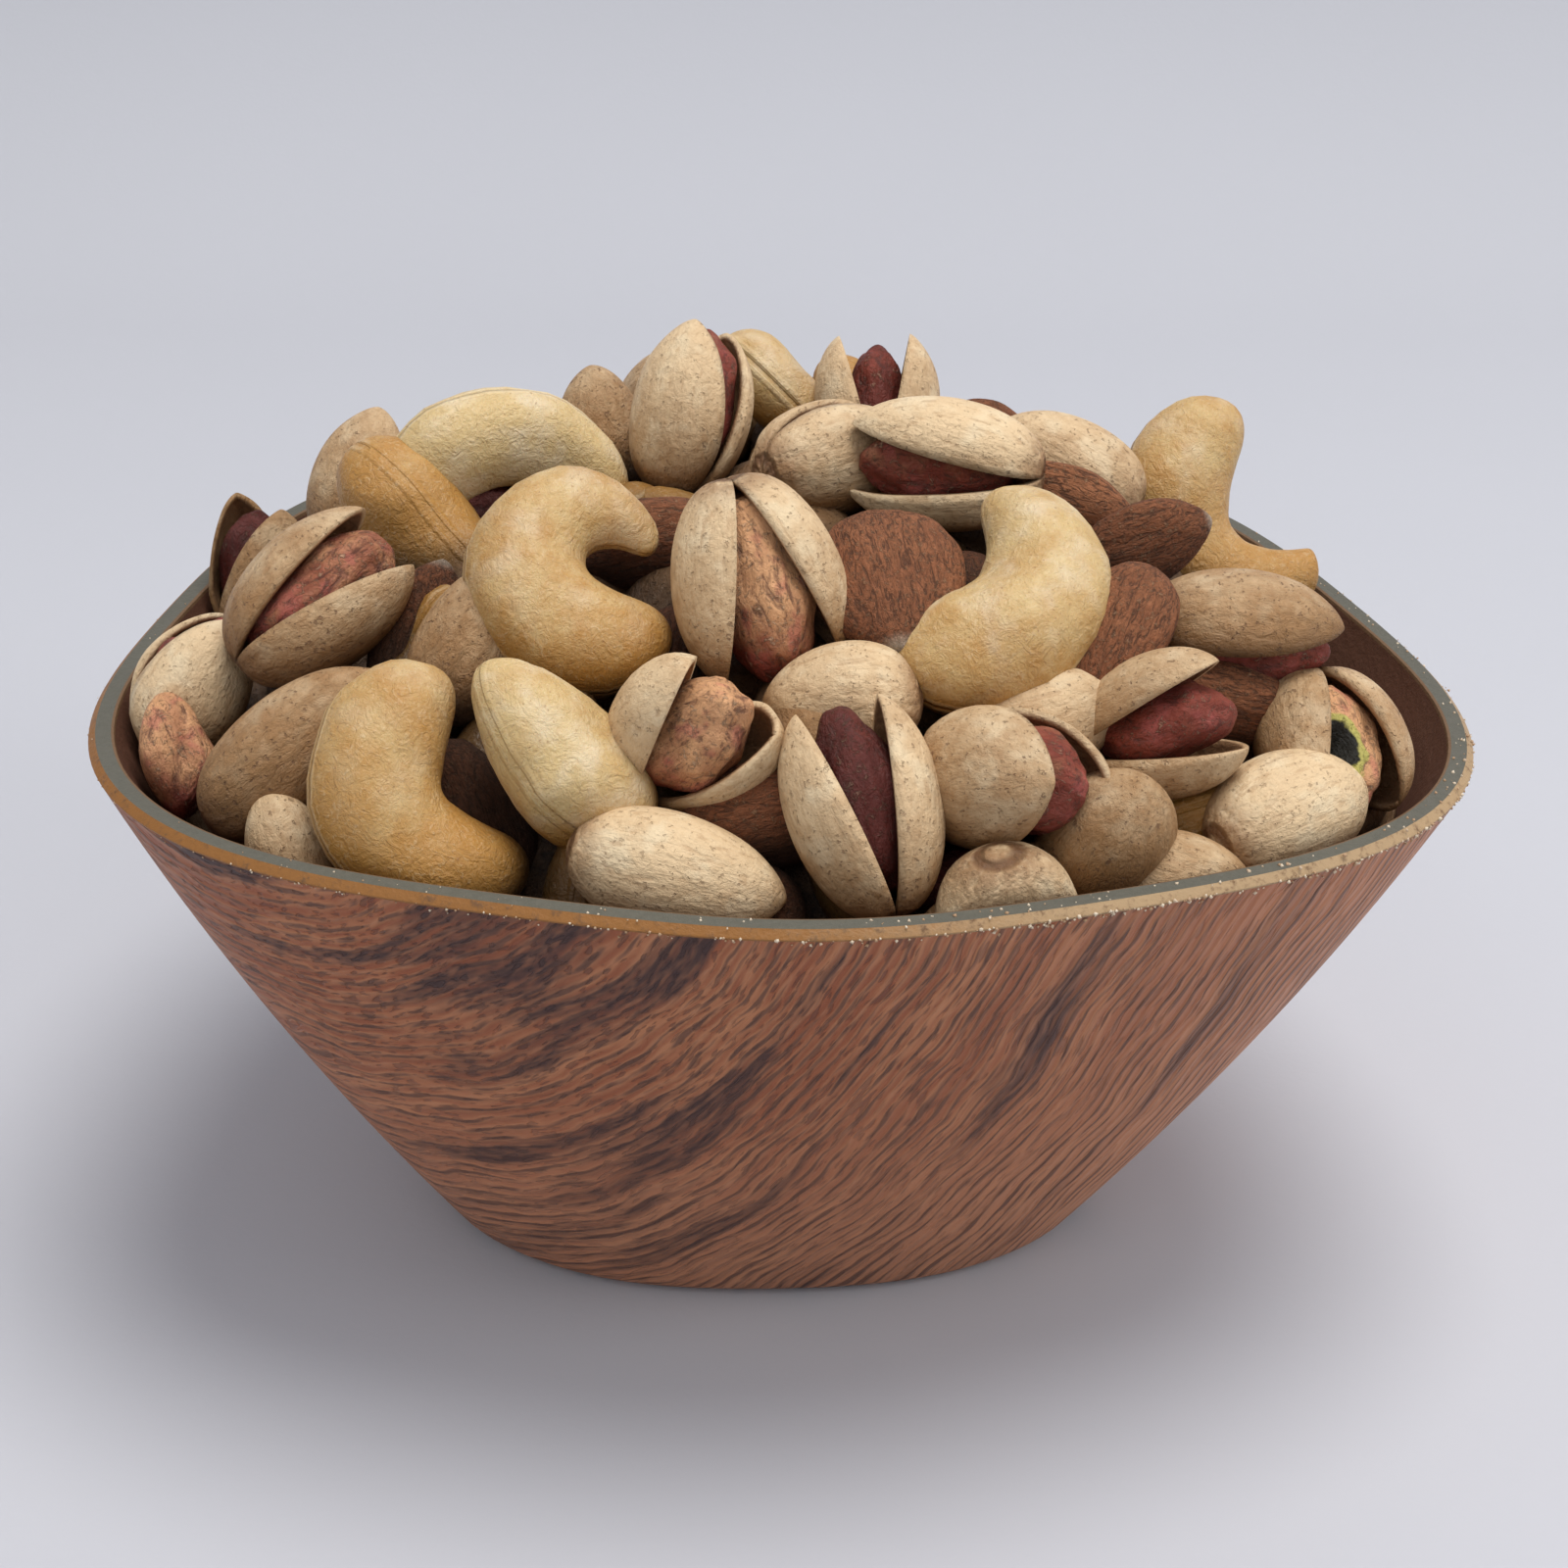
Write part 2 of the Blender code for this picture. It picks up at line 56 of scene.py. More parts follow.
# Bowl, in millimetres: the same shape as its solid, with more sides
RIM_RADIUS = 75.0
RIM_CORNER = 0.077
RIM_TIGHT = 0.021
BASE_RADIUS = 39.6
BASE_CORNER = 0.072
BOWL_HEIGHT = 68.5
WALL_BULGE = 0.21
WALL = 3.3
RIM_BEVEL = 0.8
FLOOR = 4.2
BASE_ROUND = 1.6
FLOOR_ROUND = 5.0
SHELL_SIDES = 288
BOWL_FIT = 0.9972

# Heap: the surface that the middles of the nuts lie on
HEAP_EDGE = -7.0
HEAP_CREST = 26.5
HEAP_ROUND = 3.4
HEAP_FRONT = 6.0
HEAP_BRIM = 0.97
CORE_DEPTH = 13.0
GAP = 0.45
SQUEEZE = 2.5

# Where the heap is looked at from; places in the view are pixels of a square image
VIEW_SIZE = 1600.0
VIEW_LENS = 3000.0
VIEW_RISE = math.radians(34.0)
VIEW_TURN = math.radians(-4.4)
VIEW_ROLL = math.radians(1.65)
VIEW_DISTANCE = 377.7
VIEW_AIM = (-14.0, 340.0)
SIGHT_STEPS = 500
SIGHT_REACH = 3.0 * RIM_RADIUS

KERNEL_SHARE = 0.84

# Nuts that show. heading: way the long axis points, from the right of the view and
# counterclockwise; lean: how far its tip comes forward; spin: turn about the axis;
# lift: height over the heap's surface; open: angle between the half shells, or the
# bend of a cashew; girth: thickness across; tint: 0 pale to 1 dark, and from 0.9 up
# it also paints shade on the nut; taper: how much thinner a cashew is at its tip;
# skin: a kernel's colour, 0 purple to 1 tan; fill: how much of its shell a kernel fills.
Nut = namedtuple("Nut", "kind across down heading lean spin length lift open girth tint taper"
                 " skin fill", defaults=(0.4, 0.4, KERNEL_SHARE))
SHOWN = [
    Nut("cashew", 584, 592, 80, -20, 8, 37, 1, 312, 16.4, 0.4, 0.58),
    Nut("cashew", 414, 820, -66, 0, 158, 34, 1, 225, 14.2, 0.6, 0.1),
    Nut("cashew", 572, 768, 124, 0, 235, 22.5, 0, 70, 17.6, 0.0, 0.52),
    Nut("cashew", 1035, 622, 58, -24, 165, 33, 1, 215, 17.4, 0.2, 0.36),
    Nut("cashew", 522, 474, -6, -24, 20, 38, 0, 190, 13.8, -0.3, 0.42),
    Nut("cashew", 1236, 534, -56, 0, 172, 39, 1, 238, 15.4, 0.45, 0.5),
    Nut("cashew", 802, 408, -45, 0, 90, 23, -3, 120, 12.0, 0.3),
    Nut("shut", 1130, 852, 62, 48, 40, 18, -1, 0, 14.6, 0.8),
    Nut("cashew", 1222, 836, 20, 10, 250, 25, -8, 100, 12.6, 0.8),
    Nut("cashew", 436, 548, -50, 0, 250, 26, -4, 100, 15.5, 0.9, 0.2),
    Nut("open", 772, 592, -74, 0, 80, 22.5, 2, 34, 13.4, 0.25, fill=0.95, skin=0.95),
    Nut("open", 322, 613, 41, 0, 80, 22, 2, 22, 13.2, 0.7, skin=0.65),
    Nut("open", 706, 420, 77, 0, -38, 21.5, 2, 16, 13.0, 0.2, fill=0.8, skin=0.5),
    Nut("open", 965, 474, 175, 0, 68, 23, 2, 19, 13, 0.0, fill=0.8, skin=0.62),
    Nut("open", 850, 466, 20, -35, 25, 21, 0, 16, 13.0, 0.4),
    Nut("open", 895, 418, 92, 0, 90, 20, -2, 26, 12.6, 0.3, fill=0.72, skin=0.3),
    Nut("open", 706, 750, 36, 54, 114, 19.5, 0, 34, 13.4, 0.2, fill=0.9, skin=0.9),
    Nut("open", 882, 825, 105, 0, 98, 23, 0, 22, 13.2, 0.3, fill=0.86, skin=0.05),
    Nut("open", 1030, 796, -4, 44, 0, 20.5, 1, 26, 15.2, 0.6, skin=0.5),
    Nut("open", 1180, 742, 17, 36, 93, 20, 0, 28, 12.2, 0.6, skin=0.45),
    Nut("open", 1266, 653, -10, 0, -56, 22, 1, 19, 13.6, 0.75, fill=0.78, skin=0.5),
    Nut("open", 1358, 762, -72, 36, 66, 19, 0, 32, 13.2, 0.65, skin=1.0),
    Nut("open", 258, 588, 82, 22, 56, 20, -1, 22, 13.2, 0.8, fill=0.75, skin=0.0),
    Nut("open", 194, 706, 62, 0, 30, 19, 0, 12, 12.6, 0.1),
    Nut("shut", 1315, 832, 22, -25, 0, 20.5, 0, 0, 14.0, 0.1),
    Nut("shut", 690, 892, -14, 0, 0, 23, -2, 0, 12.4, 0.1),
    Nut("shut", 1030, 950, -80, -35, 0, 20, -2, 0, 15.0, 0.2),
    Nut("shut", 366, 492, 75, 0, 0, 19, 0, 0, 11.6, 0.6),
    Nut("shut", 1090, 478, 150, 0, 0, 20, 0, 0, 12.4, 0.35),
    Nut("shut", 303, 765, 40, 0, 20, 25, -1, 0, 13.0, 0.85),
    Nut("shut", 860, 716, 185, 0, 0, 17, -4, 0, 12.6, 0.3),
    Nut("shut", 487, 655, 60, 0, 0, 20, -3, 0, 12.4, 0.8),
    Nut("shut", 1065, 738, 20, 0, 0, 18, -4, 0, 12.0, 0.4),
    Nut("shut", 296, 872, 110, 0, 0, 15, -3, 0, 9.0, 0.5),
    Nut("shut", 1198, 903, 160, 0, 0, 18, -2, 0, 11.5, 0.7),
    Nut("shut", 615, 446, 100, 0, 0, 18, -3, 0, 11.5, 0.8),
    Nut("almond", 907, 594, -80, 42, 0, 21, 1, 0, 16.4, 0.45),
    Nut("almond", 1134, 650, -118, 22, 35, 19, 1, 0, 12.4, 0.5),
    Nut("almond", 1171, 553, 20, 0, 30, 15.5, 0, 0, 10, 0.8),
    Nut("almond", 1093, 524, -20, 0, 30, 17, -2, 0, 11.4, 0.1),
    Nut("almond", 430, 655, 75, 0, 40, 19, -8, 0, 12.0, 1.3),
    Nut("almond", 668, 556, 10, 0, 30, 19, -4, 0, 11.4, 0.8),
    Nut("almond", 1250, 725, -10, 0, 40, 19, -5, 0, 12.0, 0.6),
    Nut("almond", 790, 832, 10, 0, 30, 20, -6, 0, 12.4, 0.9),
    Nut("kernel", 179, 772, 97, 0, 0, 14, 0, 0, 8.6, 0.4, skin=0.85),
]

# Nuts on the side that is turned away, and the layer under the ones that show
FILL_SEED = 11
FILL_TRIES = 400
FILL_CLEAR = 13.2
FILL_REACH = 0.93
FILL_DROP = 5.0
FILL_FRONT = 18.0
FILL_KINDS = ("cashew", "shut", "open", "almond", "cashew", "open", "shut")
FILL_SINK = (-1.5, 1.0)
FILL_LEAN = 25.0
FILL_LENGTHS = (20.0, 23.5)
FILL_GAPES = (16.0, 30.0)
FILL_BENDS = (150.0, 210.0)
FILL_GIRTHS = {"cashew": 12.8, "almond": 12.4}
FILL_GIRTH = 0.6
FILL_OUTWARD = 60.0
UNDER_SEED = 23
UNDER_TRIES = 260
UNDER_CLEAR = 11.0
UNDER_DROP = 11.0
FAR_BELOW = Vector((0.0, 0.0, -200.0))
# Tint of the layer under the ones that show, which paints shade on those nuts
UNDER_SHADE_TINT = 1.1
# Painted shade on a nut: darker with depth, in millimetres under the heap's surface, and towards
# its foot
SHADE_START = 0.5
SHADE_DEPTH = 8.0
SHADE_TINT = 1.3
FOOT_SHADE_TINT = 0.9
SHADE_SHARE = 0.82
SHADE_COLOUR = (0.026, 0.013, 0.007)
# Place where the top layer leaves the bowl's wall bare
BARE_WALL = (70.0, -4.0)
BARE_CLEAR = 22.0

# Nuts, as shares of their length
ALMOND_DEPTH = 0.40
SHELL_DEPTH = 0.90
SHELL_THICK = 1.0
HINGE = 0.46
KERNEL_SHIFT = 0.05
CASHEW_UNCURL = 0.27
CASHEW_DEPTH = 0.88
CASHEW_HOLLOW = 0.6
CASHEW_BLUNT = 3.6
CASHEW_TAPER = (0.42, 0.5, 0.08)
EGG_TAPER = 0.13
BROKEN_SKIN = 1.0
HOLE_REACH = 0.95
NUT_SCALE = 0.985

# Salt: grains strewn round the rim, and the half width that they keep within
SALT_SEED = 5
SALT_RIM = 2600
SALT_WIDTH = 75.8


class BowlSettings(bpy.types.PropertyGroup):
    """Colours and gloss of the bowl."""

    wood: bpy.props.FloatVectorProperty(
        name="Wood", description="Middle brown of the wood print",
        subtype="COLOR", size=3, min=0, max=1, default=(0.285, 0.083, 0.034))
    streak: bpy.props.FloatVectorProperty(
        name="Streak", description="Dark streaks of the wood print",
        subtype="COLOR", size=3, min=0, max=1, default=(0.056, 0.025, 0.022))
    fibre: bpy.props.FloatVectorProperty(
        name="Fibre", description="Pale fibres between the streaks",
        subtype="COLOR", size=3, min=0, max=1, default=(0.47, 0.195, 0.090))
    rim: bpy.props.FloatVectorProperty(
        name="Rim", description="Core of the bowl that shows on the rim",
        subtype="COLOR", size=3, min=0, max=1, default=(0.080, 0.080, 0.062))
    edge: bpy.props.FloatVectorProperty(
        name="Edge", description="Resin at the rim's outer edge",
        subtype="COLOR", size=3, min=0, max=1, default=(0.28, 0.118, 0.028))
    roughness: bpy.props.FloatProperty(
        name="Roughness", description="Roughness of the printed wall",
        subtype="FACTOR", min=0, max=1, default=0.42)


class NutSettings(bpy.types.PropertyGroup):
    """Sizes and colours of the nuts."""

    scale: bpy.props.FloatProperty(
        name="Scale", description="Size of each nut against its place in the heap",
        subtype="FACTOR", min=0.5, max=1.0, default=NUT_SCALE)
    shell_thickness: bpy.props.FloatProperty(
        name="Shell thickness", description="Thickness of a pistachio shell",
        subtype="DISTANCE", unit="LENGTH", min=0.0003, max=0.002, default=SHELL_THICK * MM)
    cashew: bpy.props.FloatVectorProperty(
        name="Cashew", description="Cream of a cashew",
        subtype="COLOR", size=3, min=0, max=1, default=(0.62, 0.445, 0.205))
    # This colour also serves the cashew's painted shade towards its foot and deep in the heap
    toasted: bpy.props.FloatVectorProperty(
        name="Toasted", description="Tan of the toasted patches on a cashew",
        subtype="COLOR", size=3, min=0, max=1, default=(0.44, 0.218, 0.050))
    shell: bpy.props.FloatVectorProperty(
        name="Shell", description="Pale bone of a pistachio shell",
        subtype="COLOR", size=3, min=0, max=1, default=(0.74, 0.54, 0.32))
    # This colour also serves a shell's painted shade towards its foot and deep in the heap
    shell_dark: bpy.props.FloatVectorProperty(
        name="Shell stain", description="Brown stain on a pistachio shell",
        subtype="COLOR", size=3, min=0, max=1, default=(0.35, 0.185, 0.074))
    skin: bpy.props.FloatVectorProperty(
        name="Kernel skin", description="Red-brown skin of a pistachio kernel",
        subtype="COLOR", size=3, min=0, max=1, default=(0.235, 0.047, 0.028))
    almond: bpy.props.FloatVectorProperty(
        name="Almond", description="Brown skin of an almond",
        subtype="COLOR", size=3, min=0, max=1, default=(0.250, 0.090, 0.040))


class StageSettings(bpy.types.PropertyGroup):
    """Floor and light."""

    floor: bpy.props.FloatVectorProperty(
        name="Floor", description="Pale sheet under the bowl",
        subtype="COLOR", size=3, min=0, max=1, default=(0.54, 0.545, 0.585))
    daylight: bpy.props.FloatProperty(
        name="Daylight", description="Strength of the light from all round",
        min=0, max=5, default=0.60)
    window: bpy.props.FloatProperty(
        name="Window", description="Power of the large soft light",
        subtype="POWER", unit="POWER", min=0, max=50, default=12.5)


# The bowl's plan and the places of the nuts


def third_wave(angle):
    """Three waves a turn, with a crest at the back and at the two front corners."""
    return np.cos(3.0 * (angle - math.pi / 2))


def rim_reach(angle):
    """Distance from the bowl's middle to the rim's outer edge."""
    tight = 2.0 * third_wave(angle) ** 2 - 1.0
    return RIM_RADIUS * (1.0 + RIM_CORNER * third_wave(angle) + RIM_TIGHT * tight)


def base_reach(angle):
    """Distance from the bowl's middle to the foot of its wall."""
    return BASE_RADIUS * (1.0 + BASE_CORNER * third_wave(angle))


PLAN_SHIFT = (rim_reach(math.pi / 2) - rim_reach(-math.pi / 2)) / 2.0


def outer_reach(angle, height):
    """Distance from the bowl's middle to the outside of its wall at a height."""
    share = height / BOWL_HEIGHT
    share = share + WALL_BULGE * share * (1.0 - share)
    return base_reach(angle) + (rim_reach(angle) - base_reach(angle)) * share


def inner_reach(angle, height):
    """Distance from the bowl's middle to the inside of its wall at a height."""
    return outer_reach(angle, np.minimum(height, BOWL_HEIGHT)) - WALL


def plan_share(place):
    """Share of the way from the bowl's middle to its wall at which a place lies."""
    side = Vector((place.x, place.y + PLAN_SHIFT))
    return side.length / inner_reach(math.atan2(side.y, side.x), BOWL_HEIGHT)


def heap_level(place):
    """Height of the nuts' middles above a place on the table, lower towards the front."""
    front = max(0.0, -(place.y + PLAN_SHIFT)) / rim_reach(-math.pi / 2)
    rise = HEAP_CREST * (1.0 - plan_share(place) ** HEAP_ROUND)
    return BOWL_HEIGHT + HEAP_EDGE + rise - HEAP_FRONT * front ** 2


def view_axes():
    """Place of the eye, and the view's right, up and forward directions."""
    right = Vector((1.0, 0.0, 0.0))
    forward = Vector((0.0, math.cos(VIEW_RISE), -math.sin(VIEW_RISE)))
    up = right.cross(forward)
    eye = forward * -VIEW_DISTANCE
    swing = Matrix.Rotation(math.atan2(VIEW_AIM[0], VIEW_LENS), 3, up)
    forward = swing @ forward
    right = swing @ right
    nod = Matrix.Rotation(math.atan2(VIEW_AIM[1], VIEW_LENS), 3, right)
    forward = nod @ forward
    up = nod @ up
    roll = Matrix.Rotation(-VIEW_ROLL, 3, forward)
    turn = Matrix.Rotation(VIEW_TURN, 3, "Z")
    middle = Vector((0.0, -PLAN_SHIFT, 0.0))
    return (turn @ eye + middle, turn @ roll @ right, turn @ roll @ up, turn @ forward)


EYE, RIGHT, UP, FORWARD = view_axes()


def sight_line(across, down):
    """Direction from the eye through a place in the view."""
    half = VIEW_SIZE / 2
    line = FORWARD + RIGHT * ((across - half) / VIEW_LENS) - UP * ((down - half) / VIEW_LENS)
    return line.normalized()


def shown_place(nut):
    """Point on a nut's sight line that lies on the heap, or comes nearest to it."""
    line = sight_line(nut.across, nut.down)
    nearest = None
    for step in range(SIGHT_STEPS):
        point = EYE + line * (VIEW_DISTANCE + (step / SIGHT_STEPS - 0.5) * SIGHT_REACH)
        if plan_share(point) > HEAP_BRIM:
            continue
        over = point.z - heap_level(point) - nut.lift
        if nearest is None or over < nearest[0]:
            nearest = (over, point)
        if over < 0.0:
            break
    return nearest[1]


def nut_frame(place, right, up, heading, lean, spin):
    """Matrix that carries a nut from its own axes to its place in the heap."""
    toward = right.cross(up)
    axes = Matrix((right, up, toward)).transposed()
    turned = (axes @ Matrix.Rotation(math.radians(heading), 3, "Z")
              @ Matrix.Rotation(math.radians(-lean), 3, "Y")
              @ Matrix.Rotation(math.radians(spin), 3, "X"))
    return Matrix.Translation(place) @ turned.to_4x4()


def spread_nuts(taken, seed, tries, clear, drop, kinds, front):
    """Nuts on a spiral over the heap, wherever none lies yet."""
    draw = random.Random(seed)
    taken = list(taken)
    added = []
    for step in range(tries):
        share = math.sqrt((step + 0.5) / tries) * FILL_REACH
        angle = step * math.pi * (3.0 - math.sqrt(5.0))
        reach = inner_reach(angle, BOWL_HEIGHT) * share
        place = Vector((reach * math.cos(angle), reach * math.sin(angle) - PLAN_SHIFT, 0.0))
        place.z = heap_level(place) - drop + draw.uniform(*FILL_SINK)
        kind = draw.choice(kinds)
        heading = draw.uniform(0.0, 360.0)
        lean = draw.uniform(-FILL_LEAN, FILL_LEAN)
        spin = draw.uniform(0.0, 360.0)
        length = draw.uniform(*FILL_LENGTHS)
        gape = draw.uniform(*(FILL_GAPES if kind == "open" else FILL_BENDS))
        aside = math.hypot(place.x - BARE_WALL[0], place.y - BARE_WALL[1])
        bare = aside < BARE_CLEAR and drop < UNDER_DROP
        if bare or place.y < front or min((place - other).length for other in taken) < clear:
            continue
        outward = Vector((place.x, place.y + PLAN_SHIFT, FILL_OUTWARD)).normalized()
        right = outward.cross(Vector((0.0, 1.0, 0.0))).normalized() * -1.0
        girth = FILL_GIRTHS.get(kind, length * FILL_GIRTH)
        tint = (step * 0.618) % 1.0
        nut = Nut(kind, 0, 0, heading, lean, spin, length, 0, gape, girth, tint)
        taken.append(place)
        added.append((nut, nut_frame(place, right, outward.cross(right), heading, lean, spin)))
    return added


_heap = {}


def heap_nuts():
    """Every nut of the heap, the matrix of its place, and whether it lies in the low layer."""
    if not _heap:
        shown = [(nut, nut_frame(shown_place(nut), RIGHT, UP, nut.heading, nut.lean, nut.spin))
                 for nut in SHOWN]
        away = spread_nuts([place.to_translation() for _, place in shown],
                           FILL_SEED, FILL_TRIES, FILL_CLEAR, FILL_DROP, FILL_KINDS, FILL_FRONT)
        under = spread_nuts([FAR_BELOW], UNDER_SEED, UNDER_TRIES, UNDER_CLEAR, UNDER_DROP,
                            FILL_KINDS, -RIM_RADIUS)
        _heap["all"] = ([(nut, place, False) for nut, place in shown + away]
                        # The low layer's nuts take a tint that paints shade on them
                        + [(nut._replace(tint=UNDER_SHADE_TINT), place, True) for nut, place in under])
    return _heap["all"]


def keep_inside(points):
    """Squeeze the part of a nut that would cross the bowl's wall."""
    above = points[:, 2].min() > BOWL_HEIGHT + GAP
    side_y = points[:, 1] + PLAN_SHIFT
    angle = np.arctan2(side_y, points[:, 0])
    wall = rim_reach(angle) - RIM_BEVEL if above else inner_reach(angle, points[:, 2])
    free = wall - GAP - SQUEEZE
    distance = np.hypot(points[:, 0], side_y)
    over = np.maximum(distance - free, 0.0)
    reach = np.where(over > 0.0, free + SQUEEZE * (1.0 - np.exp(-over / SQUEEZE)), distance)
    points[:, 0] = reach * np.cos(angle)
    points[:, 1] = reach * np.sin(angle) - PLAN_SHIFT
    return points


# Meshes


def tube_faces(sides, rings):
    """Faces of a closed skin of rings between two end points."""
    ring = np.arange(sides)
    after = (ring + 1) % sides
    first = [(0, 1 + int(b), 1 + int(a)) for a, b in zip(ring, after)]
    last_ring = 1 + (rings - 1) * sides
    end = last_ring + sides
    quads = []
    for row in range(rings - 1):
        low = 1 + row * sides
        quads.append(np.stack((low + ring, low + after, low + sides + after,
                               low + sides + ring), axis=1))
    last = [(end, last_ring + int(a), last_ring + int(b)) for a, b in zip(ring, after)]
    return first + [tuple(int(v) for v in quad) for quad in np.concatenate(quads)] + last


def tube_coordinates(sides, rings):
    """Along (-1 to 1) and turn (0 to 1) of each point of such a skin."""
    steps = -np.cos(math.pi * np.arange(1, rings + 1) / (rings + 1))
    along = np.concatenate(([-1.0], np.repeat(steps, sides), [1.0]))
    turn = np.concatenate(([0.0], np.tile(np.arange(sides) / sides, rings), [0.0]))
    return along, turn


def rumple(points, scale, stretch, seed):
    """Noise from -1 to 1 at each point, with the grain drawn out along X."""
    return np.array([noise.noise(Vector((p[0] / stretch + seed, p[1], p[2] - seed)) * scale)
                     for p in points])


class Batch:
    """Skins of many nuts of one kind, gathered into one mesh."""

    def __init__(self):
        self.points = []
        self.faces = []
        self.own = []
        self.facts = []
        self.count = 0

    def add(self, points, faces, own, facts):
        """Add one skin: its points in place, its own coordinates and its facts."""
        self.points.append(points)
        self.faces.extend([tuple(index + self.count for index in face) for face in faces])
        self.own.append(own)
        self.facts.append(np.broadcast_to(facts, (len(points), 3)) if facts.ndim == 1 else facts)
        self.count += len(points)

    def build(self, name, material):
        """Make the mesh and its object, which rides on the body and takes the slot."""
        mesh = bpy.data.meshes.new(name)
        points = np.concatenate(self.points) * MM
        mesh.from_pydata(points.tolist(), [], self.faces)
        for label, values in (("own", self.own), ("facts", self.facts)):
            layer = mesh.attributes.new(label, "FLOAT_VECTOR", "POINT")
            layer.data.foreach_set("vector", np.concatenate(values).astype(np.float32).ravel())
        mesh.validate()
        mesh.shade_smooth()
        item = bpy.data.objects.new(name, mesh)
        bpy.context.scene.collection.objects.link(item)
        item.data.materials.append(material)
        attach(item, "root")
        return item


def shaded(points, tint):
    """Tint of each point of a nut, raised as painted shade the deeper it lies and towards the
    nut's underside.
    """
    side_y = points[:, 1] + PLAN_SHIFT
    share = np.hypot(points[:, 0], side_y) / inner_reach(
        np.arctan2(side_y, points[:, 0]), BOWL_HEIGHT)
    front = np.maximum(0.0, -side_y) / rim_reach(-math.pi / 2)
    level = (BOWL_HEIGHT + HEAP_EDGE + HEAP_CREST * (1.0 - np.minimum(share, 1.0) ** HEAP_ROUND)
             - HEAP_FRONT * front ** 2)
    deep = np.clip((level - SHADE_START - points[:, 2]) / SHADE_DEPTH, 0.0, 1.0)
    foot = (points[:, 2].max() - points[:, 2]) / np.ptp(points[:, 2])
    return tint + FOOT_SHADE_TINT * foot ** 2 + SHADE_TINT * deep ** 1.3


def placed(points, matrix, scale):
    """Points carried from a nut's own axes to the heap, kept inside the bowl."""
    turn = np.array(matrix.to_3x3())
    return keep_inside((points * scale) @ turn.T + np.array(matrix.to_translation()))


def cashew_points(nut, sides, rings, seed):
    """Bent nut, thick at the -X end, that arches over its own +Y side."""
    along, turn = tube_coordinates(sides, rings)
    around = turn * 2.0 * math.pi
    bend = math.radians(nut.open) / 2.0
    waist, slope, swell = CASHEW_TAPER
    full = nut.girth / 2.0 * (1.0 - nut.taper * (waist + slope * along + swell * along ** 2))
    hollow = nut.length / (2.0 * bend) - nut.girth / 2.0 * (1.0 - waist * nut.taper)
    hollow = max(CASHEW_HOLLOW, hollow)
    cap = np.sqrt(np.maximum(0.0, 1.0 - np.abs(along) ** CASHEW_BLUNT))
    thick = full * cap
    swing = along * bend
    uncurl = CASHEW_UNCURL * nut.girth * nut.taper * np.maximum(along, 0.0) ** 2
    reach = hollow + full + uncurl + thick * np.cos(around)
    points = np.stack((reach * np.sin(swing), reach * np.cos(swing),
                       CASHEW_DEPTH * thick * np.sin(around)), axis=1)
    points -= (points.max(axis=0) + points.min(axis=0)) / 2.0
    bump = rumple(points, 0.16, 1.0, seed) * 0.55 + rumple(points, 0.45, 1.0, seed + 9) * 0.16
    axis = np.stack((np.cos(around) * np.sin(swing), np.cos(around) * np.cos(swing),
                     np.sin(around)), axis=1)
    points += axis * (bump * np.minimum(1.0, cap * 1.4))[:, None]
    seam = np.exp(-(np.sin(around) / 0.10) ** 2) * (np.cos(around) > 0) * cap
    return points - axis * (0.09 * seam)[:, None], np.cos(around)


def nut_profile(along, sharp):
    """Half width of an egg at each point along it, with its sharper end on +X."""
    power = 0.5 + sharp * np.maximum(along, 0.0) ** 2
    return (1.0 - EGG_TAPER * along) * np.maximum(0.0, 1.0 - along ** 2) ** power


def egg_points(length, width, depth, sides, rings, sharp):
    """Egg with its narrow end on +X."""
    along, turn = tube_coordinates(sides, rings)
    around = turn * 2.0 * math.pi
    wide = nut_profile(along, sharp)
    return np.stack((along * length / 2, wide * np.cos(around) * width / 2,
                     wide * np.sin(around) * depth / 2), axis=1)


def half_shell_points(nut, side, sides, rings, thick):
    """Half of a pistachio shell, hollow, with its cut edge on the plane Z = 0."""
    along, turn = tube_coordinates(sides, rings)
    outside = turn < 0.5
    around = np.where(outside, turn, 1.0 - turn - 1.0 / sides) / (0.5 - 1.0 / sides) * math.pi
    around = np.clip(around, 0.0, math.pi)
    wide = nut_profile(along, 0.16)
    inset = np.where(outside, 0.0, thick)
    length = nut.length / 2 - inset * 0.8
    width = nut.girth / 2 - inset
    depth = nut.girth * SHELL_DEPTH / 2 - inset
    points = np.stack((along * length, wide * np.cos(around) * width,
                       wide * np.sin(around) * depth), axis=1)
    ridge = np.cos(around * 9.0) * np.exp(-((along + 0.75) / 0.30) ** 2) * outside
    points *= (1.0 + 0.012 * ridge)[:, None]
    points[:, 2] += 0.15
    points[:, 2] *= side
    return points, np.where(outside, 0.0, 1.0)


def swung(points, pivot, angle):
    """Points turned about the Y axis through a pivot."""
    turn = np.array(Matrix.Rotation(angle, 3, "Y"))
    return (points - pivot) @ turn.T + pivot


def facing(faces, points):
    """Faces turned so that they look outward, judged by the skin's volume."""
    tri = [(face[0], face[step], face[step + 1]) for face in faces
           for step in range(1, len(face) - 1)]
    corner = points[np.array(tri)]
    volume = np.einsum("ij,ij->i", corner[:, 0], np.cross(corner[:, 1], corner[:, 2])).sum()
    return faces if volume > 0 else [tuple(reversed(face)) for face in faces]


def detail(deep):
    """Sides and rings of a nut: fewer where it lies deep."""
    return (18, 14) if deep else (36, 34)


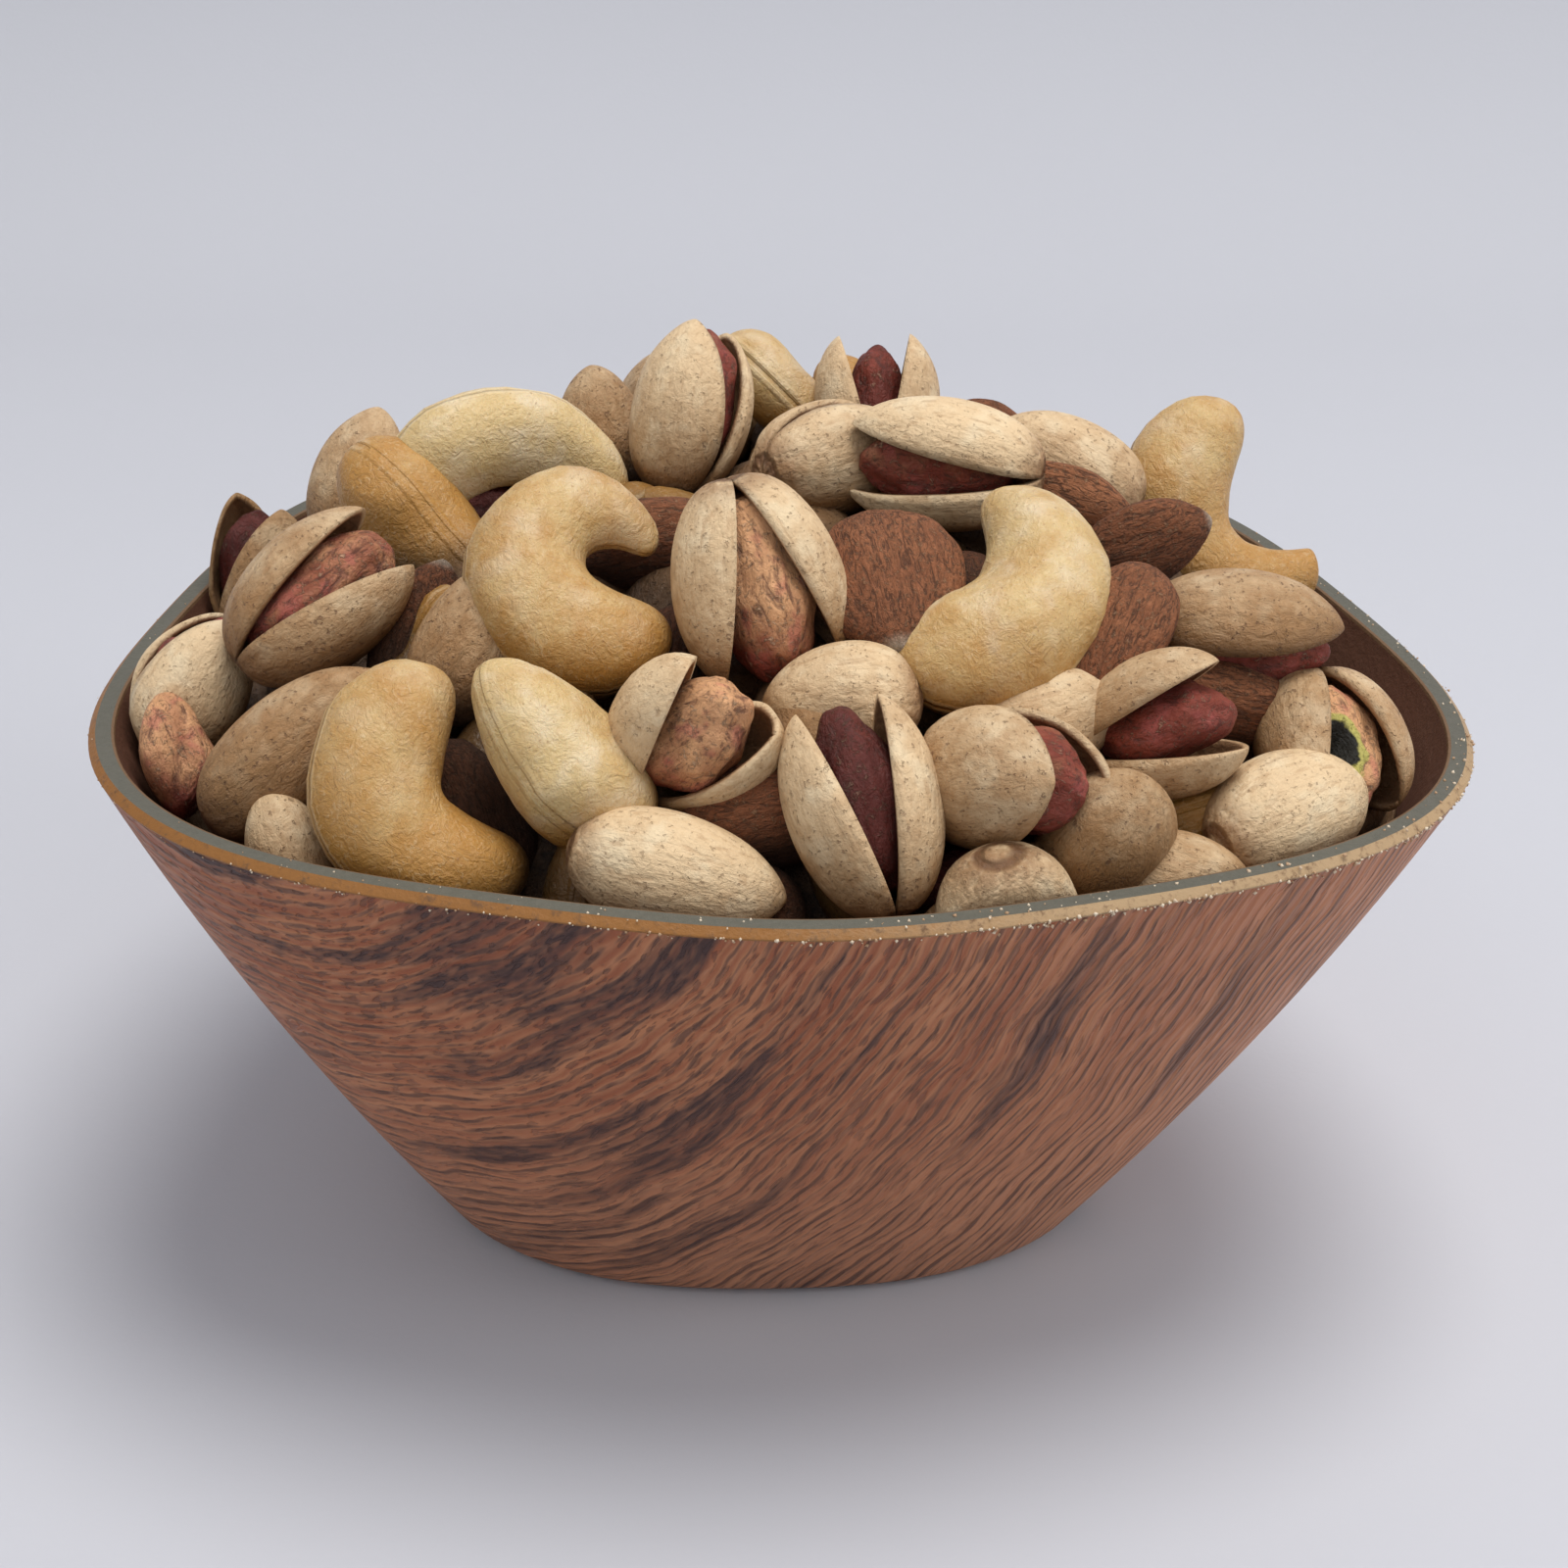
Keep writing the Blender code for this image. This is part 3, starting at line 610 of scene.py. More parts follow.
def make_cashews(settings):
    """All the cashews as one piece."""
    batch = Batch()
    for index, (nut, matrix, deep) in enumerate(heap_nuts()):
        if nut.kind != "cashew":
            continue
        sides, rings = detail(deep)
        own, outer = cashew_points(nut, sides, rings, index * 7.3)
        points = placed(own, matrix, settings.scale)
        facts = np.stack((shaded(points, nut.tint), outer, own[:, 2]), axis=1)
        batch.add(points, facing(tube_faces(sides, rings), points),
                  own + index * 37.0, facts)
    return batch.build("cashews", cashew_material(settings))


def make_pistachios(settings):
    """The pistachio shells as one piece and their kernels as another."""
    shells = Batch()
    kernels = Batch()
    thick = settings.shell_thickness / MM
    for index, (nut, matrix, deep) in enumerate(heap_nuts()):
        seed = index * 5.1
        sides, rings = detail(deep)
        if nut.kind == "open":
            pivot = np.array((-nut.length * HINGE, 0.0, 0.0))
            for side in (1, -1):
                own, inside = half_shell_points(nut, side, sides, rings, thick)
                own += rumple(own, 0.22, 2.0, seed + side)[:, None] * 0.02 * own
                wave = rumple(own, 0.35, 3.0, seed + side) * 0.18
                own[:, 1] += wave
                turned = swung(own, pivot, math.radians(-side * nut.open / 2))
                points = placed(turned, matrix, settings.scale)
                facts = np.stack((shaded(points, nut.tint), inside,
                                  own[:, 0] / nut.length), axis=1)
                shells.add(points, facing(tube_faces(sides, rings), points),
                           own + index * 37.0, facts)
        if nut.kind == "shut":
            own = egg_points(nut.length, nut.girth, nut.girth * SHELL_DEPTH, sides, rings, 0.12)
            own += rumple(own, 0.22, 2.0, seed)[:, None] * 0.03 * own
            points = placed(own, matrix, settings.scale)
            facts = np.stack((shaded(points, nut.tint), np.zeros(len(own)),
                              own[:, 0] / nut.length), axis=1)
            shells.add(points, facing(tube_faces(sides, rings), points),
                       own + index * 37.0, facts)
        if nut.kind in ("open", "kernel"):
            share = nut.fill if nut.kind == "open" else 1.0
            length = nut.length * share
            width = nut.girth * share
            own = egg_points(length, width * 0.94, width * 0.86, sides, rings, 0.1)
            wrinkle = (rumple(own, 0.28, 1.8, seed + 3) * 1.1
                       + rumple(own, 0.7, 2.4, seed + 8) * 0.5)
            own += own / (np.linalg.norm(own, axis=1)[:, None] + 0.001) * wrinkle[:, None]
            own[:, 0] += nut.length * KERNEL_SHIFT if nut.kind == "open" else 0.0
            shown_side = np.array(matrix.to_3x3().transposed() @ (EYE - matrix.translation))
            shown_side = shown_side / np.linalg.norm(shown_side)
            hole = np.linalg.norm(own / (np.linalg.norm(own, axis=1)[:, None] + 0.001)
                                  - shown_side, axis=1)
            hole = np.clip(1.0 - hole / HOLE_REACH, 0.0, 1.0) * (nut.skin >= BROKEN_SKIN)
            own += own * (-0.30 * np.clip(hole * 2.0 - 0.9, 0.0, 1.0))[:, None]
            points = placed(own, matrix, settings.scale)
            # Painted shade lowers the skin value, so a kernel deep in the heap, in the low layer
            # or towards its foot turns dark purple
            facts = np.stack((nut.skin - (shaded(points, 0.0) + deep) * 0.5, wrinkle, hole),
                             axis=1)
            kernels.add(points, facing(tube_faces(sides, rings), points),
                        own + index * 37.0, facts)
    return (shells.build("pistachio_shells", shell_material(settings)),
            kernels.build("pistachio_kernels", kernel_material(settings)))


def make_almonds(settings):
    """All the almonds as one piece."""
    batch = Batch()
    for index, (nut, matrix, deep) in enumerate(heap_nuts()):
        if nut.kind != "almond":
            continue
        sides, rings = detail(deep)
        own = egg_points(nut.length, nut.girth, nut.length * ALMOND_DEPTH, sides, rings, 0.22)
        around = np.arctan2(own[:, 2], own[:, 1])
        groove = rumple(own, 0.7, 6.0, index * 3.7) * 0.30 + rumple(own, 0.2, 1.5, index) * 0.5
        own += np.stack((np.zeros(len(own)), np.cos(around), np.sin(around)),
                        axis=1) * groove[:, None]
        points = placed(own, matrix, settings.scale)
        facts = np.stack((shaded(points, nut.tint), groove, own[:, 0] / nut.length), axis=1)
        batch.add(points, facing(tube_faces(sides, rings), points), own + index * 37.0, facts)
    return batch.build("almonds", almond_material(settings))


def ring(reach, height, sides):
    """Points of one level section, around the bowl's middle."""
    angle = 2.0 * math.pi * np.arange(sides) / sides
    distance = reach(angle)
    return np.stack((distance * np.cos(angle), distance * np.sin(angle) - PLAN_SHIFT,
                     np.full(sides, float(height))), axis=1)


def skin(sections, layers):
    """Closed skin through level sections, with a point in the middle of each end."""
    sides = len(sections[0])
    low = sections[0].mean(axis=0)
    high = sections[-1].mean(axis=0)
    points = np.concatenate([[low], *sections, [high]])
    layer = np.concatenate(([layers[0]], np.repeat(layers, sides), [layers[-1]]))
    return points, tube_faces(sides, len(sections)), layer


def make_core():
    """Mass that stands for the nuts deep in the bowl, coloured near black as painted shade."""
    sides = 90
    foot = FLOOR + GAP
    brim = BOWL_HEIGHT + HEAP_EDGE - HEAP_FRONT - CORE_DEPTH
    sections = []
    for step in range(8):
        height = foot + (brim - foot) * step / 7
        squeeze = GAP + (FLOOR_ROUND if step == 0 else 0.0) + 0.3
        level = max(height, FLOOR + FLOOR_ROUND)
        sections.append(ring(lambda angle: inner_reach(angle, level) - squeeze, height, sides))
    for step in range(1, 14):
        share = math.cos(math.pi / 2 * step / 13.5)
        section = ring(lambda angle: (inner_reach(angle, brim) - GAP - 0.3) * share, 0.0, sides)
        for point in section:
            point[2] = heap_level(Vector(point)) - CORE_DEPTH + 2.5 * noise.noise(
                Vector(point) * 0.12)
        sections.append(section)
    points, faces, _ = skin(sections, [0.0] * len(sections))
    batch = Batch()
    batch.add(points, facing(faces, points), points, np.array((0.5, 0.0, 0.0)))
    return batch.build("heap_core", core_shade_material())


def make_bowl(settings):
    """Bowl with a bulging wall, a resin edge and a rim that is ground flat."""
    foot = BOWL_HEIGHT - RIM_BEVEL
    rows = [(lambda a: outer_reach(a, 0.0) - BASE_ROUND - 1.2, 0.6, 0),
            (lambda a: outer_reach(a, 0.0) - BASE_ROUND - 0.5, 0.0, 0),
            (lambda a: outer_reach(a, 0.0) - BASE_ROUND, 0.0, 0),
            (lambda a: outer_reach(a, 0.53) - 0.55, 0.53, 0)]
    for height in np.linspace(BASE_ROUND, foot - 0.25, 30):
        rows.append((lambda a, h=height: outer_reach(a, h), height, 0))
    rows += [(lambda a: outer_reach(a, foot - 0.2), foot - 0.2, 1),
             (lambda a: outer_reach(a, foot), foot, 1),
             (lambda a: outer_reach(a, foot) - 0.12, foot + 0.18, 1),
             (lambda a: outer_reach(a, foot) - RIM_BEVEL + 0.10, BOWL_HEIGHT - 0.12, 1),
             (lambda a: outer_reach(a, foot) - RIM_BEVEL, BOWL_HEIGHT, 1),
             (lambda a: outer_reach(a, foot) - RIM_BEVEL - 0.02, BOWL_HEIGHT, 2),
             (lambda a: inner_reach(a, BOWL_HEIGHT) + 0.42, BOWL_HEIGHT, 2),
             (lambda a: inner_reach(a, BOWL_HEIGHT) + 0.40, BOWL_HEIGHT, 3),
             (lambda a: inner_reach(a, BOWL_HEIGHT) + 0.12, BOWL_HEIGHT - 0.10, 3),
             (lambda a: inner_reach(a, BOWL_HEIGHT), BOWL_HEIGHT - 0.40, 3),
             (lambda a: inner_reach(a, BOWL_HEIGHT) - 0.01, BOWL_HEIGHT - 0.45, 4)]
    for height in np.linspace(BOWL_HEIGHT - 3.0, FLOOR + FLOOR_ROUND, 14):
        rows.append((lambda a, h=height: inner_reach(a, h), height, 4))
    rows.append((lambda a: inner_reach(a, FLOOR + FLOOR_ROUND) - FLOOR_ROUND / 3,
                 FLOOR + FLOOR_ROUND / 3, 4))
    rows.append((lambda a: inner_reach(a, FLOOR + FLOOR_ROUND) - FLOOR_ROUND, FLOOR, 4))
    sections = [ring(reach, height, SHELL_SIDES) for reach, height, _ in rows]
    points, faces, layer = skin(sections, [float(row[2]) for row in rows])
    points[:, :2] *= BOWL_FIT
    batch = Batch()
    facts = np.stack((layer, np.zeros(len(layer)), np.zeros(len(layer))), axis=1)
    batch.add(points, facing(faces, points), points, facts)
    bowl = batch.build("bowl_wall", wood_material(settings))
    bowl.data.set_sharp_from_angle(angle=math.radians(38))
    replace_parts(bowl, "bowl")
    return bowl


def make_salt():
    """Salt and crumbs on the rim's face and edge, as small uneven grains."""
    draw = random.Random(SALT_SEED)
    batch = Batch()
    faces = [(0, 2, 4), (2, 1, 4), (1, 3, 4), (3, 0, 4), (2, 0, 5), (1, 2, 5), (3, 1, 5),
             (0, 3, 5)]
    corners = np.array(((1, 0, 0), (-1, 0, 0), (0, 1, 0), (0, -1, 0), (0, 0, 1), (0, 0, -1)),
                       float)

    def grain(place, size, tint):
        shape = corners * np.array([[draw.uniform(0.6, 1.3)] for _ in corners])
        turn = np.array(Matrix.Rotation(draw.uniform(0, 6.28), 3,
                                        Vector((draw.uniform(-1, 1), draw.uniform(-1, 1), 1))))
        points = (shape * size) @ turn.T + np.array(place)
        points[:, 0] = np.clip(points[:, 0], -SALT_WIDTH, SALT_WIDTH)
        batch.add(points, faces, points, np.array((tint, 0.0, 0.0)))

    for _ in range(SALT_RIM):
        angle = draw.uniform(0, 2 * math.pi)
        thickest = 0.5 + 0.5 * math.cos(angle + 0.95)
        patch = 0.5 + 0.5 * noise.noise(Vector((math.cos(angle), math.sin(angle), 0.3)) * 9.0)
        if draw.random() > 0.05 + 1.3 * thickest ** 3 * patch:
            continue
        down = abs(draw.gauss(0.0, 0.45))
        if draw.random() < 0.25:
            reach = rim_reach(angle) - draw.uniform(RIM_BEVEL, WALL - 0.4)
            height = BOWL_HEIGHT + 0.02
        else:
            reach = outer_reach(angle, BOWL_HEIGHT - RIM_BEVEL - down) - 0.12
            height = BOWL_HEIGHT - RIM_BEVEL - down + 0.1
        grain((reach * math.cos(angle), reach * math.sin(angle) - PLAN_SHIFT, height),
              draw.uniform(0.06, 0.13 + 0.17 * thickest ** 3), draw.random())
    return batch.build("salt_grains", salt_material())


# Materials


class Wire:
    """Output of a node in a material, worked with like a number."""

    def __init__(self, tree, socket=None):
        self.tree = tree
        self.socket = socket

    def node(self, kind, settings, sockets, output=0):
        """Add a node: its settings first, then the values or links of its sockets."""
        made = self.tree.nodes.new(kind)
        for name, value in settings.items():
            if name == "stops":
                set_stops(made.color_ramp, value)
            else:
                setattr(made, name, value)
        for name, value in sockets.items():
            if isinstance(value, Wire):
                self.tree.links.new(value.socket, made.inputs[name])
            else:
                made.inputs[name].default_value = value
        return Wire(self.tree, made.outputs[output])

    def sum_of(self, operation, first, second):
        """Math node on two numbers or links."""
        return self.node("ShaderNodeMath", {"operation": operation}, {0: first, 1: second})

    def __add__(self, other):
        return self.sum_of("ADD", self, other)

    def __radd__(self, other):
        return self.sum_of("ADD", other, self)

    def __sub__(self, other):
        return self.sum_of("SUBTRACT", self, other)

    def __rsub__(self, other):
        return self.sum_of("SUBTRACT", other, self)

    def __mul__(self, other):
        return self.sum_of("MULTIPLY", self, other)

    def __rmul__(self, other):
        return self.sum_of("MULTIPLY", other, self)

    def __pow__(self, other):
        return self.sum_of("POWER", self, other)


def set_stops(ramp, stops):
    """Give a colour ramp its stops, as pairs of place and colour."""
    while len(ramp.elements) < len(stops):
        ramp.elements.new(0.5)
    for element, (place, colour) in zip(ramp.elements, stops):
        element.position = place
        element.color = (*colour[:3], 1.0)


def clamp(value, low, high):
    """Value smoothed from 0 at low to 1 at high."""
    return value.node("ShaderNodeMapRange", {"interpolation_type": "SMOOTHSTEP"},
                      {"Value": value, "From Min": low, "From Max": high})


def mix(factor, first, second):
    """Colour between two colours."""
    colours = {}
    for name, colour in ((6, first), (7, second)):
        colours[name] = colour if isinstance(colour, Wire) else (*colour[:3], 1.0)
    return factor.node("ShaderNodeMix", {"data_type": "RGBA"}, {0: factor, **colours}, 2)


def grain_noise(vector, scale, detail_level=4.0, rough=0.55, bent=0.0):
    """Noise from 0 to 1 at a vector."""
    return vector.node("ShaderNodeTexNoise", {}, {"Vector": vector, "Scale": scale,
                       "Detail": detail_level, "Roughness": rough, "Distortion": bent})


def painted_heap_shade(tint, colour):
    """Colour of a nut with painted shade: darker where it lies deep in the heap and towards its
    foot.
    """
    return mix(clamp(tint, 0.90, 2.1) * SHADE_SHARE, colour, SHADE_COLOUR)


def attribute(start, name):
    """A vector that the mesh carries at each point."""
    made = start.tree.nodes.new("ShaderNodeAttribute")
    made.attribute_name = name
    return Wire(start.tree, made.outputs["Vector"])


def parts_of(vector):
    """The three numbers of a vector."""
    made = vector.tree.nodes.new("ShaderNodeSeparateXYZ")
    vector.tree.links.new(vector.socket, made.inputs[0])
    return [Wire(vector.tree, made.outputs[index]) for index in range(3)]


def joined(start, x, y, z):
    """Vector of three numbers."""
    return start.node("ShaderNodeCombineXYZ", {}, {0: x, 1: y, 2: z})


def new_material(name):
    """Empty material and the wire to start its nodes from."""
    material = bpy.data.materials.new(name)
    material.use_nodes = True
    shader = material.node_tree.nodes["Principled BSDF"]
    return material, shader, Wire(material.node_tree)


def finish_material(start, shader, colour, roughness, height, strength, distance):
    """Link a material's colour, roughness and relief to its shader."""
    links = start.tree.links
    links.new(colour.socket, shader.inputs["Base Color"])
    links.new(roughness.socket, shader.inputs["Roughness"])
    bump = start.node("ShaderNodeBump", {}, {"Strength": strength, "Distance": distance * MM,
                      "Height": height})
    links.new(bump.socket, shader.inputs["Normal"])


def cashew_material(settings):
    """Waxy cream with tan patches, a seam line and specks of salt."""
    material, shader, start = new_material("cashew_flesh")
    own = attribute(start, "own")
    tint, outer, off_seam = parts_of(attribute(start, "facts"))
    patch = grain_noise(own, 0.14, 3.0)
    mottle = grain_noise(own, 0.55, 5.0, 0.65)
    flakes = grain_noise(own, 1.05, 3.0, 0.6, 1.6)
    # Toasted tan, reached also through the tint, which carries painted shade with depth and
    # towards the nut's foot
    toast_and_shade = clamp(patch * 0.55 + mottle * 0.30 + flakes * 0.15 + tint * 0.36 - 0.14, 0.30, 0.74)
    colour = mix(toast_and_shade, settings.cashew, settings.toasted)
    pale = clamp(grain_noise(own, 0.22, 2.0), 0.42, 0.74) * (1.0 - clamp(tint, 0.0, 1.0)) * 0.55
    colour = mix(pale, colour, (0.76, 0.64, 0.46))
    colour = mix(clamp(flakes, 0.52, 0.72) * 0.22, colour, (0.84, 0.70, 0.46))
    colour = mix(clamp(flakes, 0.46, 0.30) * 0.22, colour, (0.36, 0.18, 0.06))
    seam_line = (1.0 - clamp(off_seam * off_seam, 0.0, 0.06)) * clamp(outer, 0.80, 0.97)
    colour = mix(seam_line * 0.22, colour, (0.34, 0.19, 0.075))
    lip = clamp(off_seam * off_seam, 0.06, 0.25) * (1.0 - clamp(off_seam * off_seam, 0.6, 1.6))
    colour = mix(lip * clamp(outer, 0.6, 0.9) * 0.22, colour, (0.84, 0.70, 0.46))
    specks = clamp(grain_noise(own, 2.3, 2.0, 0.5), 0.66, 0.72)
    colour = mix(specks * 0.5, colour, (0.26, 0.12, 0.045))
    colour = painted_heap_shade(tint, colour)
    worms = grain_noise(own, 0.62, 3.0, 0.6, 1.9)
    height = flakes * 0.3 + worms * 0.55 + mottle * 0.3 - seam_line * 0.5 + lip * 0.3
    shader.inputs["Subsurface Weight"].default_value = 0.12
    shader.inputs["Subsurface Radius"].default_value = (1.0, 0.6, 0.3)
    shader.inputs["Subsurface Scale"].default_value = 1.2 * MM
    shader.inputs["Specular IOR Level"].default_value = 0.4
    finish_material(start, shader, colour, 0.32 + mottle * 0.22, height, 0.75, 0.7)
    return material


def shell_material(settings):
    """Bone-coloured shell with fine streaks along it, stains and a brown inside."""
    material, shader, start = new_material("pistachio_shell")
    own = attribute(start, "own")
    tint, inside, along = parts_of(attribute(start, "facts"))
    x, y, z = parts_of(own)
    drawn = joined(start, x * 0.22, y, z)
    streak = grain_noise(drawn, 1.1, 5.0, 0.6)
    stain = grain_noise(own, 0.17, 4.0, 0.6)
    blotch = grain_noise(own, 0.7, 4.0, 0.65, 0.8)
    # Brown stain, reached also through the tint, which carries painted shade with depth and
    # towards the nut's foot
    dark = clamp(stain * 0.50 + streak * 0.25 + blotch * 0.25 + tint * 0.42 - 0.20, 0.28, 0.80)
    colour = mix(dark, settings.shell, settings.shell_dark)
    pale = clamp(grain_noise(own, 0.26, 2.0), 0.48, 0.70) * (1.0 - tint * 0.8) * 0.7
    colour = mix(pale, colour, (0.80, 0.65, 0.43))
    colour = mix(clamp(streak, 0.48, 0.34) * 0.40, colour, (0.36, 0.19, 0.08))
    spread = start.sum_of("ARCTAN2", z, y) * 9.0 + (grain_noise(own, 0.5, 2.0) - 0.5) * 5.0
    fan = start.sum_of("SINE", spread, 0.0) * 0.5 + 0.5
    stem = 1.0 - clamp(along, -0.49, -0.30)
    colour = mix(stem * clamp(streak * 0.6 + fan * 0.4, 0.35, 0.7) * 0.8, colour,
                 (0.26, 0.125, 0.05))
    scar = clamp(along, -0.500, -0.488) * (1.0 - clamp(along, -0.482, -0.465))
    colour = mix(scar * 0.8, colour, (0.13, 0.055, 0.022))
    pits = clamp(grain_noise(own, 1.5, 3.0, 0.7), 0.61, 0.68)
    colour = mix(pits * (0.35 + tint * 0.35), colour, (0.20, 0.095, 0.045))
    lining = mix(grain_noise(own, 0.5, 4.0), (0.22, 0.10, 0.045), (0.50, 0.30, 0.15))
    colour = mix(clamp(inside, 0.45, 0.95), colour, lining)
    colour = painted_heap_shade(tint, colour)
    coarse = grain_noise(joined(start, x * 0.5, y, z), 0.75, 5.0, 0.7, 1.0)
    fuzz = grain_noise(own, 1.5, 5.0, 0.65)
    height = (streak * 0.7 + fan * stem * 1.2 - scar * 1.0 + blotch * 0.6 + fuzz * 0.35
              + coarse * clamp(tint, 0.35, 1.1) * 1.6 - pits * (0.2 + tint * 0.6))
    shader.inputs["Specular IOR Level"].default_value = 0.35
    finish_material(start, shader, colour, 0.42 + streak * 0.22, height, 0.75, 0.7)
    return material


def kernel_material(settings):
    """Wrinkled skin, purple to tan, with pink and pale flakes in places."""
    material, shader, start = new_material("kernel_skin")
    own = attribute(start, "own")
    skin, _, hole = parts_of(attribute(start, "facts"))
    x, y, z = parts_of(own)
    drawn = joined(start, x * 0.4, y, z)
    folds = grain_noise(drawn, 0.8, 6.0, 0.65, 0.6)
    patch = grain_noise(own, 0.24, 3.0)
    # The skin value carries painted shade, so shaded kernels turn to dark purple
    skin_and_shade = skin + (patch - 0.5) * 0.7
    colour = mix(clamp(skin_and_shade, 0.0, 0.45), (0.095, 0.017, 0.012), settings.skin)
    colour = mix(clamp(skin_and_shade, 0.45, 0.95), colour, (0.70, 0.37, 0.18))
    pink = clamp(grain_noise(own, 0.30, 2.0), 0.52, 0.66) * clamp(skin, 0.15, 0.5)
    colour = mix(pink * 0.5, colour, (0.46, 0.11, 0.095))
    colour = mix(clamp(folds, 0.50, 0.34) * 0.75, colour, (0.070, 0.022, 0.016))
    flakes = clamp(grain_noise(own, 1.1, 4.0, 0.7, 1.2), 0.55, 0.68)
    colour = mix(flakes * (0.15 + skin * 0.45), colour, (0.66, 0.46, 0.30))
    torn = hole + (grain_noise(own, 0.6, 3.0) - 0.5) * 0.35
    colour = mix(clamp(torn, 0.26, 0.34), colour, (0.50, 0.44, 0.12))
    # Painted shadow: the middle of a broken kernel's hollow is near black
    colour = mix(clamp(torn, 0.44, 0.52), colour, (0.012, 0.010, 0.006))
    shader.inputs["Specular IOR Level"].default_value = 0.3
    height = folds * 1.2 + grain_noise(own, 2.0, 4.0) * 0.3 + flakes * 0.4
    finish_material(start, shader, colour, 0.34 + folds * 0.3, height, 0.9, 0.7)
    return material


def almond_material(settings):
    """Matte brown skin with fine grooves along it, dusted with salt."""
    material, shader, start = new_material("almond_skin")
    own = attribute(start, "own")
    tint, _, along = parts_of(attribute(start, "facts"))
    x, y, z = parts_of(own)
    drawn = joined(start, x * 0.26, y, z)
    lines = grain_noise(drawn, 1.7, 5.0, 0.62, 1.3)
    patch = grain_noise(own, 0.25, 3.0)
    # Darker brown with the tint, which carries the almond's own tone and painted shade with
    # depth and towards its foot
    colour = mix(clamp(lines * 0.5 + patch * 0.4 + tint * 0.35 - 0.15, 0.25, 0.70),
                 (0.41, 0.165, 0.075), settings.almond)
    colour = mix(clamp(lines, 0.54, 0.38) * 0.85, colour, (0.085, 0.034, 0.018))
    dust = clamp(grain_noise(own, 1.7, 4.0, 0.7), 0.54, 0.68)
    colour = mix(dust * 0.40, colour, (0.53, 0.32, 0.18))
    tip = clamp(along, 0.43, 0.50)
    colour = mix(tip * 0.8, colour, (0.62, 0.50, 0.38))
    colour = painted_heap_shade(tint, colour)
    height = lines * 1.0 + grain_noise(own, 2.2, 4.0) * 0.35 + dust * 0.25
    shader.inputs["Specular IOR Level"].default_value = 0.25
    finish_material(start, shader, colour, 0.66 + lines * 0.2, height, 1.0, 0.9)
    return material


def core_shade_material():
    """Near-black brown, painted shade for the deep gaps between the nuts."""
    material, shader, start = new_material("heap_core_shade")
    own = attribute(start, "own")
    lumps = grain_noise(own, 0.25, 6.0, 0.7)
    colour = mix(clamp(lumps, 0.4, 0.7), (0.020, 0.012, 0.008), (0.11, 0.06, 0.03))
    finish_material(start, shader, colour, 0.75 + lumps * 0.1, lumps, 1.0, 2.0)
    return material


def salt_material():
    """Salt grains, from white to tan."""
    material, shader, start = new_material("salt")
    own = attribute(start, "own")
    tint = parts_of(attribute(start, "facts"))[0]
    spots = grain_noise(own, 3.0, 2.0)
    colour = mix(clamp(tint + spots * 0.2, 0.3, 0.9), (0.44, 0.27, 0.15), (0.72, 0.60, 0.45))
    finish_material(start, shader, colour, 0.5 + spots * 0.1, spots, 0.3, 0.1)
    return material


